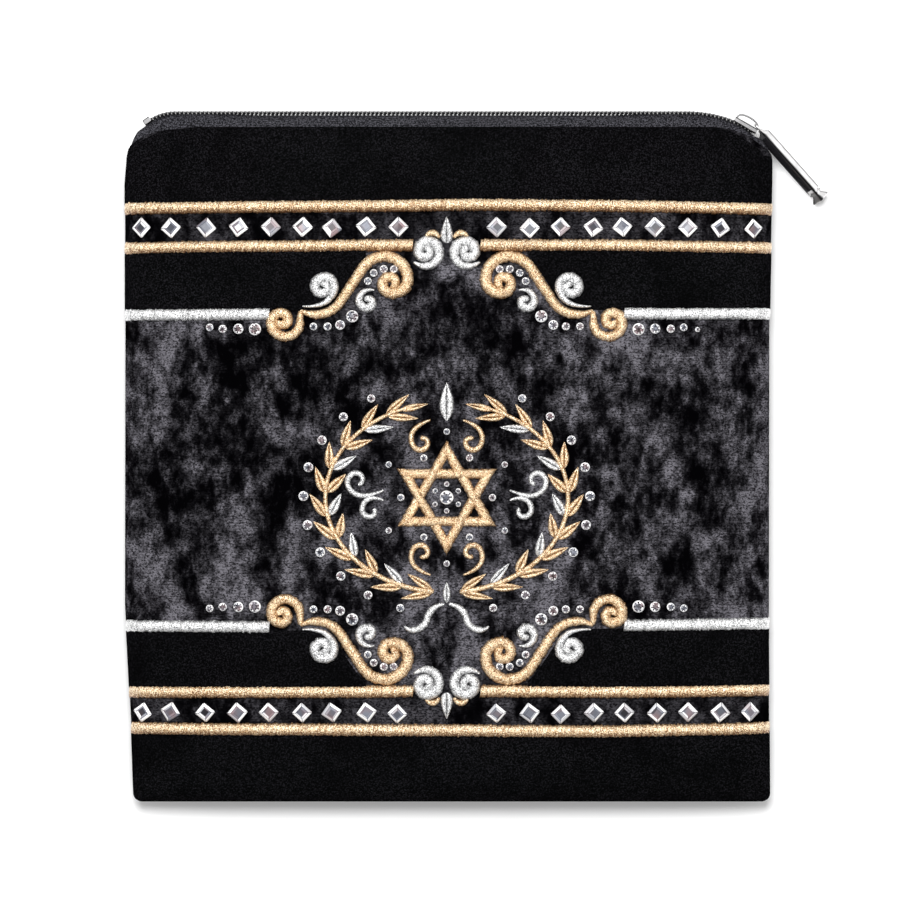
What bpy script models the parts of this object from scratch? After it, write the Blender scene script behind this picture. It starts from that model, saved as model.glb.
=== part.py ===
"""Velvet bag for a prayer shawl, closed with a zip, lying on its back with its embroidered face up.

X runs across the bag, Y runs up its face towards the zip, and Z is up. The origin is in the middle of
the flat patch on which the back rests. Everything is in metres.

The bag is one pillow shape cut into sheets. Across the face a place is given by `a`, from -1 at the left
seam to 1 at the right seam, and by its height y. The pieces on the face are offset from that shape.
"""

import math

import bmesh
import bpy
import numpy as np

MM = 0.001

# The closed bag
BAG_WIDTH = 305 * MM
BAG_HEIGHT = 326 * MM
SEAM_HEIGHT = 13 * MM
CROWN = 24 * MM
PANEL_THICKNESS = 2.2 * MM
GAP = 0.3 * MM
SEAM_GAP = 0.4 * MM
TOP = BAG_HEIGHT / 2
CROWN_POWER = 3.2
BACK_FLAT_SHARE = 0.78
PANEL_COLUMNS = 26
PANEL_ROWS = 20
BACK_COLUMNS = 20
BACK_ROWS = 16

# Rounding of the corners, across and up, for the left (-1) and the right (1) side
TOP_CORNER = {-1: (23.6 * MM, 23.6 * MM), 1: (41.0 * MM, 25.0 * MM)}
BOTTOM_CORNER = 4.0 * MM

# The sides draw in towards the bottom: (height on the bag, left draw-in, right draw-in)
DRAW_IN = (
    (-163 * MM, 4.2 * MM, 0.6 * MM),
    (-125 * MM, 2.9 * MM, 0.9 * MM),
    (-88 * MM, 1.0 * MM, 1.2 * MM),
    (-70 * MM, 0.0 * MM, 1.0 * MM),
    (60 * MM, 0.2 * MM, 0.8 * MM),
    (128 * MM, 0.0 * MM, -0.6 * MM),
    (138 * MM, 0.8 * MM, -0.7 * MM),
    (147 * MM, 1.3 * MM, -0.8 * MM),
    (156 * MM, 0.7 * MM, -0.8 * MM),
    (163 * MM, 0.3 * MM, -0.8 * MM),
)

# Where the velvet ends and the zip tape shows: (place across the face, height on the bag)
VELVET_TOP = 155.3 * MM
VELVET_EDGE = (
    (-1.0, 145.8 * MM),
    (-0.895, 148.6 * MM),
    (-0.76, 153.5 * MM),
    (-0.6, VELVET_TOP),
    (0.70, VELVET_TOP),
    (0.77, 154.0 * MM),
    (0.82, 151.2 * MM),
    (0.87, 146.8 * MM),
    (1.0, 141.8 * MM),
)

# Zip
TAPE_INSET = 2.9 * MM
TAPE_THICKNESS = 1.0 * MM
TAPE_TUCK = 6.0 * MM
COIL_WIDTH = 6.4 * MM
COIL_THICKNESS = 2.1 * MM
COIL_CHAMFER = 0.6 * MM
COIL_START = math.radians(130)
COIL_END = math.radians(39)
STOP_LENGTH = 3.6 * MM
STOP_WALL = 0.7 * MM
STOP_DEPTH = 1.7 * MM
STOP_ANGLE = math.radians(126)
SLIDER_ANGLE = math.radians(46.5)
SLIDER_LENGTH = 12.0 * MM
SLIDER_WALL = 0.9 * MM
SLIDER_DEPTH = 1.2 * MM
BRIDGE_WIDTH = 3.0 * MM
BRIDGE_WALL = 0.8 * MM
BRIDGE_GAP = 2.6 * MM
BRIDGE_END = 0.2 * MM
BRIDGE_SQUARENESS = 0.6
LOOP_HEIGHT = 2.0 * MM
PULLER_HEADING = math.radians(-48.0)
PULLER_DROOP = math.radians(10.3)
PULLER_BAR = 4.9 * MM
PULLER_LENGTH = 36.0 * MM
LOOP_HOLE = (2.8 * MM, 4.2 * MM)
LOOP_WIRE = 0.8 * MM
NECK_LENGTH = 2.6 * MM
NECK_SIZE = 1.2 * MM
FINIAL_LENGTH = 5.6 * MM
FINIAL_WIDTH = 6.8 * MM

# Embroidery, about its own centre on the face
DESIGN_X = -0.6 * MM
DESIGN_Y = -6.2 * MM
CORD_WIDTH = 4.8 * MM
CORD_RISE = 1.8 * MM
CORD_TOP = 0.45
THIN_RISE = 0.3
BAND_THICKNESS = 1.0 * MM
EDGE_REACH = 0.93
TOP_TRIM = 0.9 * MM
BOTTOM_TRIM = 4.0 * MM
ON_PANEL = GAP + 0.1 * MM
ON_BAND = ON_PANEL + BAND_THICKNESS + GAP

# Heights of the straight cords about the embroidery's centre, above and below it
BAR_HEIGHTS = {
    "upper": {"outer": 124.3 * MM, "inner": 105.5 * MM, "silver": 73.4 * MM},
    "lower": {"outer": -122.4 * MM, "inner": -104.1 * MM, "silver": -73.5 * MM},
}
FINIAL_HEIGHT = 111.4 * MM
LOWER_SHIFT = 1.5 * MM
INNER_BAR_END = 17.0 * MM
SILVER_BAR_END = 84.9 * MM

# Finishes: name, colour, roughness, metallic
GOLD = ("gold_thread", (0.83, 0.62, 0.30), 0.45, 0.0)
SILVER = ("silver_thread", (0.82, 0.83, 0.84), 0.45, 0.0)
CRUSHED = ("crushed_velvet", (0.06, 0.058, 0.068), 0.85, 0.0)
VELVET = ("black_velvet", (0.012, 0.012, 0.015), 0.9, 0.0)
TAPE = ("zip_tape", (0.03, 0.03, 0.033), 0.8, 0.0)
COIL = ("zip_coil", (0.015, 0.015, 0.016), 0.4, 0.0)
NICKEL = ("nickel", (0.78, 0.78, 0.8), 0.15, 1.0)


def material(kind):
    """The finish of that kind, made once."""
    name, colour, roughness, metallic = kind
    found = bpy.data.materials.get(name)
    if found:
        return found
    made = bpy.data.materials.new(name)
    made.use_nodes = True
    shader = made.node_tree.nodes["Principled BSDF"]
    shader.inputs["Base Color"].default_value = (*colour, 1.0)
    shader.inputs["Roughness"].default_value = roughness
    shader.inputs["Metallic"].default_value = metallic
    made.diffuse_color = (*colour, 1.0)
    return made


def add_solid(name, points, faces, kind):
    """One closed body from points and faces, with its faces turned outwards."""
    mesh = bpy.data.meshes.new(name)
    mesh.from_pydata([tuple(map(float, point)) for point in points], [], faces)
    shell = bmesh.new()
    shell.from_mesh(mesh)
    bmesh.ops.remove_doubles(shell, verts=shell.verts, dist=1e-6)
    bmesh.ops.recalc_face_normals(shell, faces=shell.faces)
    if shell.calc_volume(signed=True) < 0:
        bmesh.ops.reverse_faces(shell, faces=shell.faces)
    shell.to_mesh(mesh)
    shell.free()
    mesh.shade_smooth()
    mesh.set_sharp_from_angle(angle=math.radians(40))
    made = bpy.data.objects.new(name, mesh)
    made.data.materials.append(material(kind))
    bpy.context.scene.collection.objects.link(made)
    return made


def join_to(target, helper):
    """Fuse the helper's shape into the target with a Boolean, and keep the helper as a guide."""
    union = target.modifiers.new("union", "BOOLEAN")
    union.operation = "UNION"
    union.object = helper
    helper.hide_render = True
    helper.display_type = "WIRE"


def row(table, key, column):
    """Value of one column of a table at a key, in proportion between its rows."""
    return float(np.interp(key, [line[0] for line in table], [line[column] for line in table]))


def half_width(side, y, inset=0.0):
    """Distance from the middle to the left (-1) or right (1) seam at height y, set in by inset."""
    edge = TOP - inset
    corner_x, corner_y = TOP_CORNER[side]
    up = min(1.0, max(0.0, (y - (edge - corner_y)) / corner_y))
    down = min(1.0, max(0.0, (-y - (edge - BOTTOM_CORNER)) / BOTTOM_CORNER))
    cut = corner_x * (1 - math.sqrt(1 - up * up)) + BOTTOM_CORNER * (1 - math.sqrt(1 - down * down))
    return BAG_WIDTH / 2 - inset - row(DRAW_IN, y, 1 if side < 0 else 2) - cut


def crown(t):
    """Height share of the face, 1 in the middle and falling square to 0 at t = 1."""
    return math.sqrt(max(0.0, 1 - abs(t) ** CROWN_POWER))


def back_fall(t):
    """Depth share of the back, exactly 1 over its flat middle and falling square to 0 at t = 1."""
    past = max(0.0, (abs(t) - BACK_FLAT_SHARE) / (1 - BACK_FLAT_SHARE))
    return math.sqrt(max(0.0, 1 - past * past))


def across(a):
    """Share of the half width at place a. The sine crowds even steps of a towards the seams."""
    return math.sin(a * math.pi / 2)


def place_of(x, y):
    """The place a of the point of the face at x, y."""
    share = x / half_width(-1 if x < 0 else 1, y)
    return math.asin(max(-1.0, min(1.0, share))) * 2 / math.pi


def front_point(a, y, inset=0.0):
    """Point of the face at place a and height y. An inset makes the whole pillow that much smaller."""
    share = across(a)
    rise = (CROWN - inset) * crown(share) * crown(y / (TOP - inset))
    x = share * half_width(-1 if a < 0 else 1, y, inset)
    return np.array((x, y, SEAM_HEIGHT + SEAM_GAP / 2 + rise))


def back_point(a, y, inset=0.0):
    """Point of the back at place a and height y."""
    share = across(a)
    depth = (SEAM_HEIGHT - SEAM_GAP / 2 - inset) * back_fall(share) * back_fall(y / (TOP - inset))
    x = share * half_width(-1 if a < 0 else 1, y, inset)
    return np.array((x, y, SEAM_HEIGHT - SEAM_GAP / 2 - depth))


def front_normal(a, y):
    """Outward direction of the face."""
    step_a, step_y = 0.004, 0.3 * MM
    a = max(-1 + step_a, min(1 - step_a, a))
    along = front_point(a + step_a, y) - front_point(a - step_a, y)
    up = front_point(a, min(TOP, y + step_y)) - front_point(a, max(-TOP, y - step_y))
    normal = np.cross(along, up)
    return normal / np.linalg.norm(normal)


def face_point(a, y, lift):
    """Point that stands off the face by lift, square to it."""
    return front_point(a, y) + front_normal(a, y) * lift


def evenly(count, low=0.0, high=1.0):
    """Even steps from low to high."""
    return [low + (high - low) * i / count for i in range(count + 1)]


def crowded(count):
    """Steps from 0 to 1 that crowd towards both ends."""
    return [(1 - math.cos(math.pi * i / count)) / 2 for i in range(count + 1)]


def grid_faces(rows, columns, start, flip):
    """Quads of a grid of points whose first point has the index start."""
    faces = []
    for i in range(rows - 1):
        for j in range(columns - 1):
            corner = start + i * columns + j
            quad = (corner, corner + 1, corner + columns + 1, corner + columns)
            faces.append(tuple(reversed(quad)) if flip else quad)
    return faces


def add_sheet(name, outer, inner, kind):
    """A closed sheet between two grids of points of the same size."""
    rows, columns = len(outer), len(outer[0])
    points = [p for line in outer for p in line] + [p for line in inner for p in line]
    half = rows * columns
    faces = grid_faces(rows, columns, 0, False) + grid_faces(rows, columns, half, True)
    rim = list(range(columns))
    rim += [i * columns + columns - 1 for i in range(1, rows)]
    rim += [(rows - 1) * columns + j for j in reversed(range(columns - 1))]
    rim += [i * columns for i in reversed(range(1, rows - 1))]
    for here, there in zip(rim, rim[1:] + rim[:1]):
        faces.append((here, there, there + half, here + half))
    return add_solid(name, points, faces, kind)


def velvet_edge(a):
    """Height at which the velvet ends and the zip tape begins, at place a."""
    return row(VELVET_EDGE, a, 1)


def inner_height(y):
    """Height on the inner face of a panel, drawn in from both ends with the panel's thickness."""
    if y < 0:
        return y * (TOP - PANEL_THICKNESS) / TOP
    return y - PANEL_THICKNESS / 2 * y / VELVET_TOP


def add_panel(name, point, rows, columns, kind):
    """A dished panel from the bottom seam to the edge beside the zip tape."""
    outer, inner = [], []
    for share in crowded(rows):
        spots = [(a, -TOP + share * (velvet_edge(a) + TOP)) for a in evenly(columns, -1.0, 1.0)]
        outer.append([point(a, y) for a, y in spots])
        inner.append([point(a, inner_height(y), PANEL_THICKNESS) for a, y in spots])
    add_sheet(name, outer, inner, kind)


def add_tape(name, point, columns):
    """Zip tape that lies under the velvet's edge and runs up to the coil on the ridge."""
    rows = 5
    outer, inner = [], []
    for share in evenly(rows):
        outer.append([])
        inner.append([])
        for a in evenly(columns, -1.0, 1.0):
            low = velvet_edge(a) - TAPE_TUCK
            for line, inset in ((outer, TAPE_INSET), (inner, TAPE_INSET + TAPE_THICKNESS)):
                y = low + share ** 0.7 * (TOP - inset - low)
                line[-1].append(point(a, y, inset))
    add_sheet(name, outer, inner, TAPE)


def add_band(name, low, high, rows, start, end, corners=()):
    """Smooth velvet laid on the face between the heights low(x) and high(x), from x = start to x = end, with
    a station at each column of the panel and at the x of each corner."""
    outer, inner = [], []
    middle = (high((start + end) / 2) + low((start + end) / 2)) / 2
    limits = (place_of(start, middle), place_of(end, middle))
    apart = 0.002
    inside = evenly(PANEL_COLUMNS, -1.0, 1.0) + [place_of(x, middle) for x in corners]
    inside = sorted(a for a in inside if limits[0] + apart < a < limits[1] - apart)
    stations = [limits[0], *inside, limits[1]]
    for share in crowded(rows):
        spots = []
        for a in stations:
            x = front_point(a, middle)[0]
            spots.append((a, low(x) + share * (high(x) - low(x))))
        inner.append([face_point(a, y, ON_PANEL) for a, y in spots])
        outer.append([face_point(a, y, ON_PANEL + BAND_THICKNESS) for a, y in spots])
    add_sheet(name, outer, inner, VELVET)


def bar_edge(level, bar, side):
    """Height on the bag of the velvet's edge above (1) or below (-1) a straight cord."""
    return DESIGN_Y + BAR_HEIGHTS[level][bar] + side * (CORD_WIDTH / 2 + GAP)


# A corner piece of velvet ends beside the scroll: (distance from the middle, height from the silver cord)
BAND_SCROLL_LINE = (
    (38.0 * MM, 24.7 * MM),
    (42.4 * MM, 20.3 * MM),
    (52.4 * MM, 5.4 * MM),
    (56.4 * MM, 1.6 * MM),
    (61.4 * MM, 0.2 * MM),
)


def add_bands():
    """The six pieces of smooth velvet."""
    reach = BAG_WIDTH / 2 * across(EDGE_REACH)
    add_band(
        "velvet_top",
        lambda x: bar_edge("upper", "outer", 1),
        lambda x: velvet_edge(place_of(x, VELVET_TOP - TAPE_TUCK)) - TOP_TRIM,
        6, -reach, reach,
    )
    add_band(
        "velvet_bottom",
        lambda x: -TOP + BOTTOM_TRIM,
        lambda x: bar_edge("lower", "outer", -1),
        7, -reach, reach,
    )
    line = BAND_SCROLL_LINE
    for level, sign in (("upper", 1), ("lower", -1)):
        silver, inner = bar_edge(level, "silver", sign), bar_edge(level, "inner", -sign)

        def beside_scroll(x, silver=silver, sign=sign):
            away = abs(x - DESIGN_X)
            return silver + sign * (row(line, away, 1) if away < line[-1][0] else 0.0)

        def beside_bar(x, inner=inner):
            return inner

        low, high = (beside_scroll, beside_bar) if sign > 0 else (beside_bar, beside_scroll)
        for side_name, side in (("left", -1), ("right", 1)):
            corners = [DESIGN_X + side * away for away, _ in line]
            start, end = sorted((corners[0], side * reach))
            add_band(f"velvet_{level}_{side_name}", low, high, 3, start, end, corners[1:])


def arc_path(start, heading, moves):
    """Points of a path of arcs and lines in the face's plane. A move is (radius, degrees turned to the left),
    or (length, None) for a straight run. An arc takes a step each 24 degrees or 7 mm."""
    points = [np.array(start, float)]
    angle = math.radians(heading)
    for size, turn in moves:
        length = size if turn is None else size * abs(math.radians(turn))
        count = math.ceil(max(length / (7 * MM), abs(turn or 0) / 24))
        bend = math.radians(turn or 0) / count
        reach = 2 * size * math.sin(abs(bend) / 2) if turn else size / count
        for _ in range(count):
            middle = angle + bend / 2
            points.append(points[-1] + reach * np.array((math.cos(middle), math.sin(middle))))
            angle += bend
    return points


def add_loft(name, rings, kind):
    """A closed body through rings of points, with flat ends."""
    size, count = len(rings[0]), len(rings)
    faces = [tuple(range(size)), tuple((count - 1) * size + j for j in reversed(range(size)))]
    for i in range(count - 1):
        for j in range(size):
            k = (j + 1) % size
            faces.append((i * size + j, i * size + k, (i + 1) * size + k, (i + 1) * size + j))
    return add_solid(name, [point for ring in rings for point in ring], faces, kind)


def add_cord(name, spots, halves, kind, lift, lean=0.0):
    """A raised cord of satin stitch on the face, through spots (x, y) with a half width at each. Its edges
    lean forward by that share of the half width."""
    places = [(place_of(x, y), y) for x, y in spots]
    line = [front_point(a, y) for a, y in places]
    rings = []
    for i, (a, y) in enumerate(places):
        tangent = line[min(i + 1, len(line) - 1)] - line[max(i - 1, 0)]
        tangent /= np.linalg.norm(tangent)
        normal = front_normal(a, y)
        side = np.cross(normal, tangent)
        side /= np.linalg.norm(side)
        foot = face_point(a, y, lift)
        tall = CORD_RISE * min(1.0, THIN_RISE + (1 - THIN_RISE) * halves[i] * 2 / CORD_WIDTH)
        ring = []
        for share, up in ((-1.0, 0.0), (-CORD_TOP, 1.0), (CORD_TOP, 1.0), (1.0, 0.0)):
            reach = share * halves[i]
            ring.append(foot + side * reach + tangent * lean * abs(reach) + normal * tall * up)
        rings.append(ring)
    add_loft(name, rings, kind)


def add_scroll(name, path, widths, kind, mirror_x, mirror_y, lift):
    """A cord along a path about the embroidery's centre. Widths are (share of the length, width)."""
    middle = DESIGN_Y if mirror_y > 0 else DESIGN_Y + LOWER_SHIFT
    spots = [(DESIGN_X + p[0] * mirror_x, middle + p[1] * mirror_y) for p in path]
    steps = [math.dist(p, q) for p, q in zip(spots, spots[1:])]
    run = np.concatenate([[0.0], np.cumsum(steps)]) / sum(steps)
    halves = [row(widths, share, 1) / 2 for share in run]
    add_cord(name, spots, halves, kind, lift)


# Scrolls of the upper left quarter: name, start, heading, moves, widths, finish, lift.
# The other three quarters are mirrored from it.
SCROLLS = (
    (
        "scroll", (-68.8 * MM, 75.0 * MM), -32,
        ((14.0 * MM, 89), (18.0 * MM, None), (12.8 * MM, -57), (10.8 * MM, -90), (6.2 * MM, -60),
         (9.0 * MM, -30), (4.2 * MM, -90), (3.4 * MM, -90), (2.5 * MM, -80)),
        ((0.0, 1.6 * MM), (0.08, 4.2 * MM), (0.4, 5.2 * MM), (0.7, 5.4 * MM), (0.86, 4.4 * MM),
         (1.0, 2.8 * MM)),
        GOLD, ON_PANEL,
    ),
    (
        "hook", (-68.6 * MM, 72.2 * MM), -93,
        ((3.2 * MM, None), (7.0 * MM, -87), (6.6 * MM, -90), (4.6 * MM, -90), (3.2 * MM, -90),
         (2.2 * MM, -90)),
        ((0.0, 2.4 * MM), (0.15, 4.2 * MM), (0.55, 4.4 * MM), (0.8, 3.6 * MM), (1.0, 2.6 * MM)),
        GOLD, ON_PANEL,
    ),
    (
        "tail", (-67.8 * MM, 76.7 * MM), -6,
        ((22.0 * MM, 22), (9.0 * MM, 74), (4.2 * MM, 90), (4.9 * MM, 70), (3.2 * MM, 110), (1.9 * MM, 110)),
        ((0.0, 0.7 * MM), (0.2, 2.2 * MM), (0.42, 3.8 * MM), (0.75, 4.2 * MM), (1.0, 2.8 * MM)),
        SILVER, ON_BAND,
    ),
    (
        "curl", (-33.8 * MM, 84.2 * MM), 168,
        ((9.0 * MM, 20), (4.9 * MM, 82), (3.6 * MM, 90), (2.4 * MM, 100), (1.8 * MM, 90)),
        ((0.0, 0.8 * MM), (0.2, 2.4 * MM), (0.5, 4.0 * MM), (0.8, 3.4 * MM), (1.0, 2.4 * MM)),
        SILVER, ON_PANEL,
    ),
    (
        "volute", (-15.6 * MM, 97.6 * MM), -38,
        ((9.5 * MM, 38), (6.2 * MM, 90), (5.4 * MM, 90), (4.4 * MM, 90), (2.7 * MM, 90), (2.0 * MM, 110)),
        ((0.0, 1.2 * MM), (0.15, 3.4 * MM), (0.4, 4.6 * MM), (0.7, 4.0 * MM), (1.0, 2.6 * MM)),
        SILVER, ON_PANEL,
    ),
    (
        "leaf", (-4.4 * MM, 109.7 * MM), 100,
        ((3.0 * MM, 80), (2.6 * MM, 60)),
        ((0.0, 1.0 * MM), (0.45, 2.4 * MM), (1.0, 1.0 * MM)),
        GOLD, ON_PANEL,
    ),
)
# Quarters: name, mirror across, mirror up and down
QUARTERS = (("upper_left", 1, 1), ("upper_right", -1, 1), ("lower_left", 1, -1), ("lower_right", -1, -1))


def add_scrolls():
    """The scrolls of the four quarters."""
    for quarter, mirror_x, mirror_y in QUARTERS:
        for piece, start, heading, moves, widths, kind, lift in SCROLLS:
            path = arc_path(start, heading, moves)
            add_scroll(f"{piece}_{quarter}", path, widths, kind, mirror_x, mirror_y, lift)


def add_bar(name, y, start, end, kind):
    """A straight cord across the face, with a station at each column of the panel."""
    limits = sorted((place_of(start, y), place_of(end, y)))
    inside = [a for a in evenly(PANEL_COLUMNS, -1.0, 1.0) if limits[0] + 0.01 < a < limits[1] - 0.01]
    spots = [(front_point(a, y)[0], y) for a in [limits[0]] + inside + [limits[1]]]
    add_cord(name, spots, [CORD_WIDTH / 2] * len(spots), kind, ON_PANEL)


def add_bars():
    """The straight gold and silver cords."""
    for level, heights in BAR_HEIGHTS.items():
        y = DESIGN_Y + heights["outer"]
        reach = across(EDGE_REACH)
        add_bar(f"outer_bar_{level}", y, -half_width(-1, y) * reach, half_width(1, y) * reach, GOLD)
        for side_name, side in (("left", -1), ("right", 1)):
            y = DESIGN_Y + heights["inner"]
            edge = side * half_width(side, y) * reach
            add_bar(f"inner_bar_{level}_{side_name}", y, edge, DESIGN_X + side * INNER_BAR_END, GOLD)
            y = DESIGN_Y + heights["silver"]
            add_bar(f"silver_bar_{level}_{side_name}", y, edge, DESIGN_X + side * SILVER_BAR_END, SILVER)


def add_lozenge(name, middle, up, down, wide, kind, rise=CORD_RISE):
    """A raised lozenge of stitches, with its point at the top and the bottom."""
    x, y = middle
    rim = [(x, y + up), (x - wide, y), (x, y - down), (x + wide, y)]
    points = [face_point(place_of(px, py), py, ON_PANEL) for px, py in rim]
    points.append(face_point(place_of(x, y), y, ON_PANEL + rise))
    faces = [(3, 2, 1, 0)] + [(i, (i + 1) % 4, 4) for i in range(4)]
    add_solid(name, points, faces, kind)


def add_finials():
    """The pointed leaf at the middle of each pair of volutes."""
    for level, sign in (("upper", 1), ("lower", -1)):
        tip, foot = (7.4 * MM, 5.0 * MM) if sign > 0 else (5.0 * MM, 7.4 * MM)
        y = DESIGN_Y + sign * FINIAL_HEIGHT + (0.0 if sign > 0 else LOWER_SHIFT)
        add_lozenge(f"finial_{level}", (DESIGN_X, y), tip, foot, 2.9 * MM, SILVER)


# The medallion in the middle of the face
MEDALLION_Y = DESIGN_Y - 13.2 * MM
STAR_RADIUS = 27.0 * MM
STAR_CORD = 4.6 * MM
WREATH_HALF_WIDTH = 57.0 * MM
WREATH_HALF_HEIGHT = 44.5 * MM
WREATH_START = -84.0
WREATH_END = 74.0
LEAVES = 11
STEM_HALF_WIDTH = 1.1 * MM
LEAF_REACH = 6.6 * MM
LEAF_LEAN = 0.55
LEAF_END_SIZE = 0.78
RIBBON_START = (-2.6 * MM, -50.4 * MM)
RIBBON_HEADING = -166
RIBBON_MOVES = ((9.0 * MM, 62), (7.0 * MM, -84), (4.0 * MM, -50))
RIBBON_WIDTHS = ((0.0, 1.4 * MM), (0.3, 3.6 * MM), (0.8, 3.4 * MM), (1.0, 1.0 * MM))
# Outline of a leaf beside the stem: (share of the leaf's length, share of its reach)
LEAF_OUTLINE = ((0.0, 0.0), (0.3, 0.8), (0.62, 1.0))


def wreath_spot(degrees, side):
    """Point of the wreath's stem at an angle about the medallion's middle."""
    angle = math.radians(degrees)
    return (
        DESIGN_X + side * WREATH_HALF_WIDTH * math.cos(angle),
        MEDALLION_Y + WREATH_HALF_HEIGHT * math.sin(angle),
    )


def add_sprays():
    """The two leafy sprays of the wreath, each one body whose edges swell into leaves that lean forward."""
    shares = [(i + share, reach) for i in range(LEAVES) for share, reach in LEAF_OUTLINE] + [(LEAVES, 0.0)]
    for side_name, side in (("left", -1), ("right", 1)):
        spots, halves = [], []
        for s, reach in shares:
            spots.append(wreath_spot(WREATH_START + (WREATH_END - WREATH_START) * s / LEAVES, side))
            size = LEAF_REACH * (LEAF_END_SIZE + (1 - LEAF_END_SIZE) * math.sin(math.pi * s / LEAVES))
            halves.append(STEM_HALF_WIDTH + reach * size)
        add_cord(f"spray_{side_name}", spots, halves, GOLD, ON_PANEL, LEAF_LEAN)


def star_frame(name, turn):
    """One triangle of the star, as a closed frame of cord."""
    points = []
    for share, lift in ((1, 0.0), (CORD_TOP, CORD_RISE), (-CORD_TOP, CORD_RISE), (-1, 0.0)):
        radius = STAR_RADIUS - STAR_CORD + share * STAR_CORD
        for corner in range(3):
            angle = math.radians(turn + 120 * corner)
            x = DESIGN_X + radius * math.cos(angle)
            y = MEDALLION_Y + radius * math.sin(angle)
            points.append(face_point(place_of(x, y), y, ON_PANEL + lift))
    faces = []
    for i in range(4):
        for corner in range(3):
            after = (corner + 1) % 3
            k = (i + 1) % 4
            faces.append((i * 3 + corner, i * 3 + after, k * 3 + after, k * 3 + corner))
    return add_solid(name, points, faces, GOLD)


def add_medallion():
    """A six-pointed star in a wreath, with a lozenge over it and a tied ribbon under it."""
    star = star_frame("star", 90)
    join_to(star, star_frame("star_second_frame", -90))
    add_sprays()
    add_lozenge("wreath_lozenge", (DESIGN_X, MEDALLION_Y + 45.0 * MM), 9.0 * MM, 9.0 * MM, 7.0 * MM, SILVER)
    add_lozenge("wreath_knot", (DESIGN_X, MEDALLION_Y - 44.6 * MM), 5.0 * MM, 5.0 * MM, 3.4 * MM, SILVER)
    start = (RIBBON_START[0], MEDALLION_Y - DESIGN_Y + RIBBON_START[1])
    path = arc_path(start, RIBBON_HEADING, RIBBON_MOVES)
    for side_name, mirror in (("left", 1), ("right", -1)):
        add_scroll(f"ribbon_{side_name}", path, RIBBON_WIDTHS, SILVER, mirror, 1, ON_PANEL)


def ridge(angle):
    """Point of the bag's outline at the ridge, outward direction there and direction along it to the right.
    An angle over 90 degrees is on the left corner, one under it on the right corner."""
    side = 1 if angle < math.pi / 2 else -1
    y = TOP - TOP_CORNER[side][1] * (1 - math.sin(angle))
    corner_x, corner_y = TOP_CORNER[side]
    outward = np.array((math.cos(angle) / corner_x, math.sin(angle) / corner_y, 0.0))
    outward /= np.linalg.norm(outward)
    spot = np.array((side * half_width(side, y), y, SEAM_HEIGHT))
    return spot, outward, np.array((outward[1], -outward[0], 0.0))


def ridge_angles(start, end):
    """Angles along the ridge, from the left corner to the right one."""
    steps = 5
    left = evenly(steps, start, math.pi / 2 + 1e-6)
    return left + evenly(2 * steps, math.pi / 2 - 1e-6, end)


def add_coil():
    """The closed coil along the ridge, as the strip that its turns fill."""
    half = COIL_WIDTH / 2
    section = (
        (0.0, half - COIL_CHAMFER),
        (-COIL_CHAMFER, half),
        (COIL_CHAMFER - COIL_THICKNESS, half),
        (-COIL_THICKNESS, half - COIL_CHAMFER),
    )
    section += tuple((out, -side) for out, side in reversed(section))
    rings = []
    for angle in ridge_angles(COIL_START, COIL_END):
        spot, outward, _ = ridge(angle)
        rings.append([spot + outward * out + np.array((0.0, 0.0, side)) for out, side in section])
    add_loft("zip_coil", rings, COIL)


def channel_rings(origin, axes, start, end, wall, depth):
    """Rings of a channel that wraps the coil from outside: a plate with a wall down each side."""
    half = COIL_WIDTH / 2 + GAP
    right = (
        (GAP, half),
        (-depth, half),
        (-depth, half + wall),
        (GAP + wall / 2, half + wall),
        (GAP + wall, half + wall / 2),
    )
    profile = right + tuple((n, -w) for n, w in reversed(right))
    return [[origin + axes[0] * t + axes[1] * n + axes[2] * w for n, w in profile] for t in (start, end)]


UP = np.array((0.0, 0.0, 1.0))


def add_end_stop():
    """Metal stop clamped round the coil's left end."""
    spot, outward, along = ridge(STOP_ANGLE)
    half = STOP_LENGTH / 2
    rings = channel_rings(spot, (along, outward, UP), -half, half, STOP_WALL, STOP_DEPTH)
    add_loft("zip_end_stop", rings, NICKEL)


def add_slider():
    """Slider that wraps the coil, with the bridge that holds the puller."""
    spot, outward, along = ridge(SLIDER_ANGLE)
    axes = (along, outward, UP)
    half = SLIDER_LENGTH / 2
    body = channel_rings(spot, axes, -half, half, SLIDER_WALL, SLIDER_DEPTH)
    slider = add_loft("zip_slider", body, NICKEL)
    floor = GAP + SLIDER_WALL
    sunk = 0.4 * MM
    rings = []
    reach, steps = half - BRIDGE_END, 10
    for i in range(steps + 1):
        turn = math.pi * (1 - i / steps)
        arch = max(0.0, math.sin(turn)) ** BRIDGE_SQUARENESS
        outer = (reach * math.cos(turn), floor + (BRIDGE_GAP + BRIDGE_WALL) * arch)
        inside = ((reach - BRIDGE_WALL) * math.cos(turn), floor + BRIDGE_GAP * arch)
        if i in (0, steps):
            outer, inside = (outer[0], floor - sunk), (inside[0], floor - sunk)
        ring = []
        for (t, n), w in ((outer, 1), (outer, -1), (inside, -1), (inside, 1)):
            ring.append(spot + along * t + outward * n + UP * w * BRIDGE_WIDTH / 2)
        rings.append(ring)
    join_to(slider, add_loft("slider_bridge", rings, NICKEL))


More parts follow.
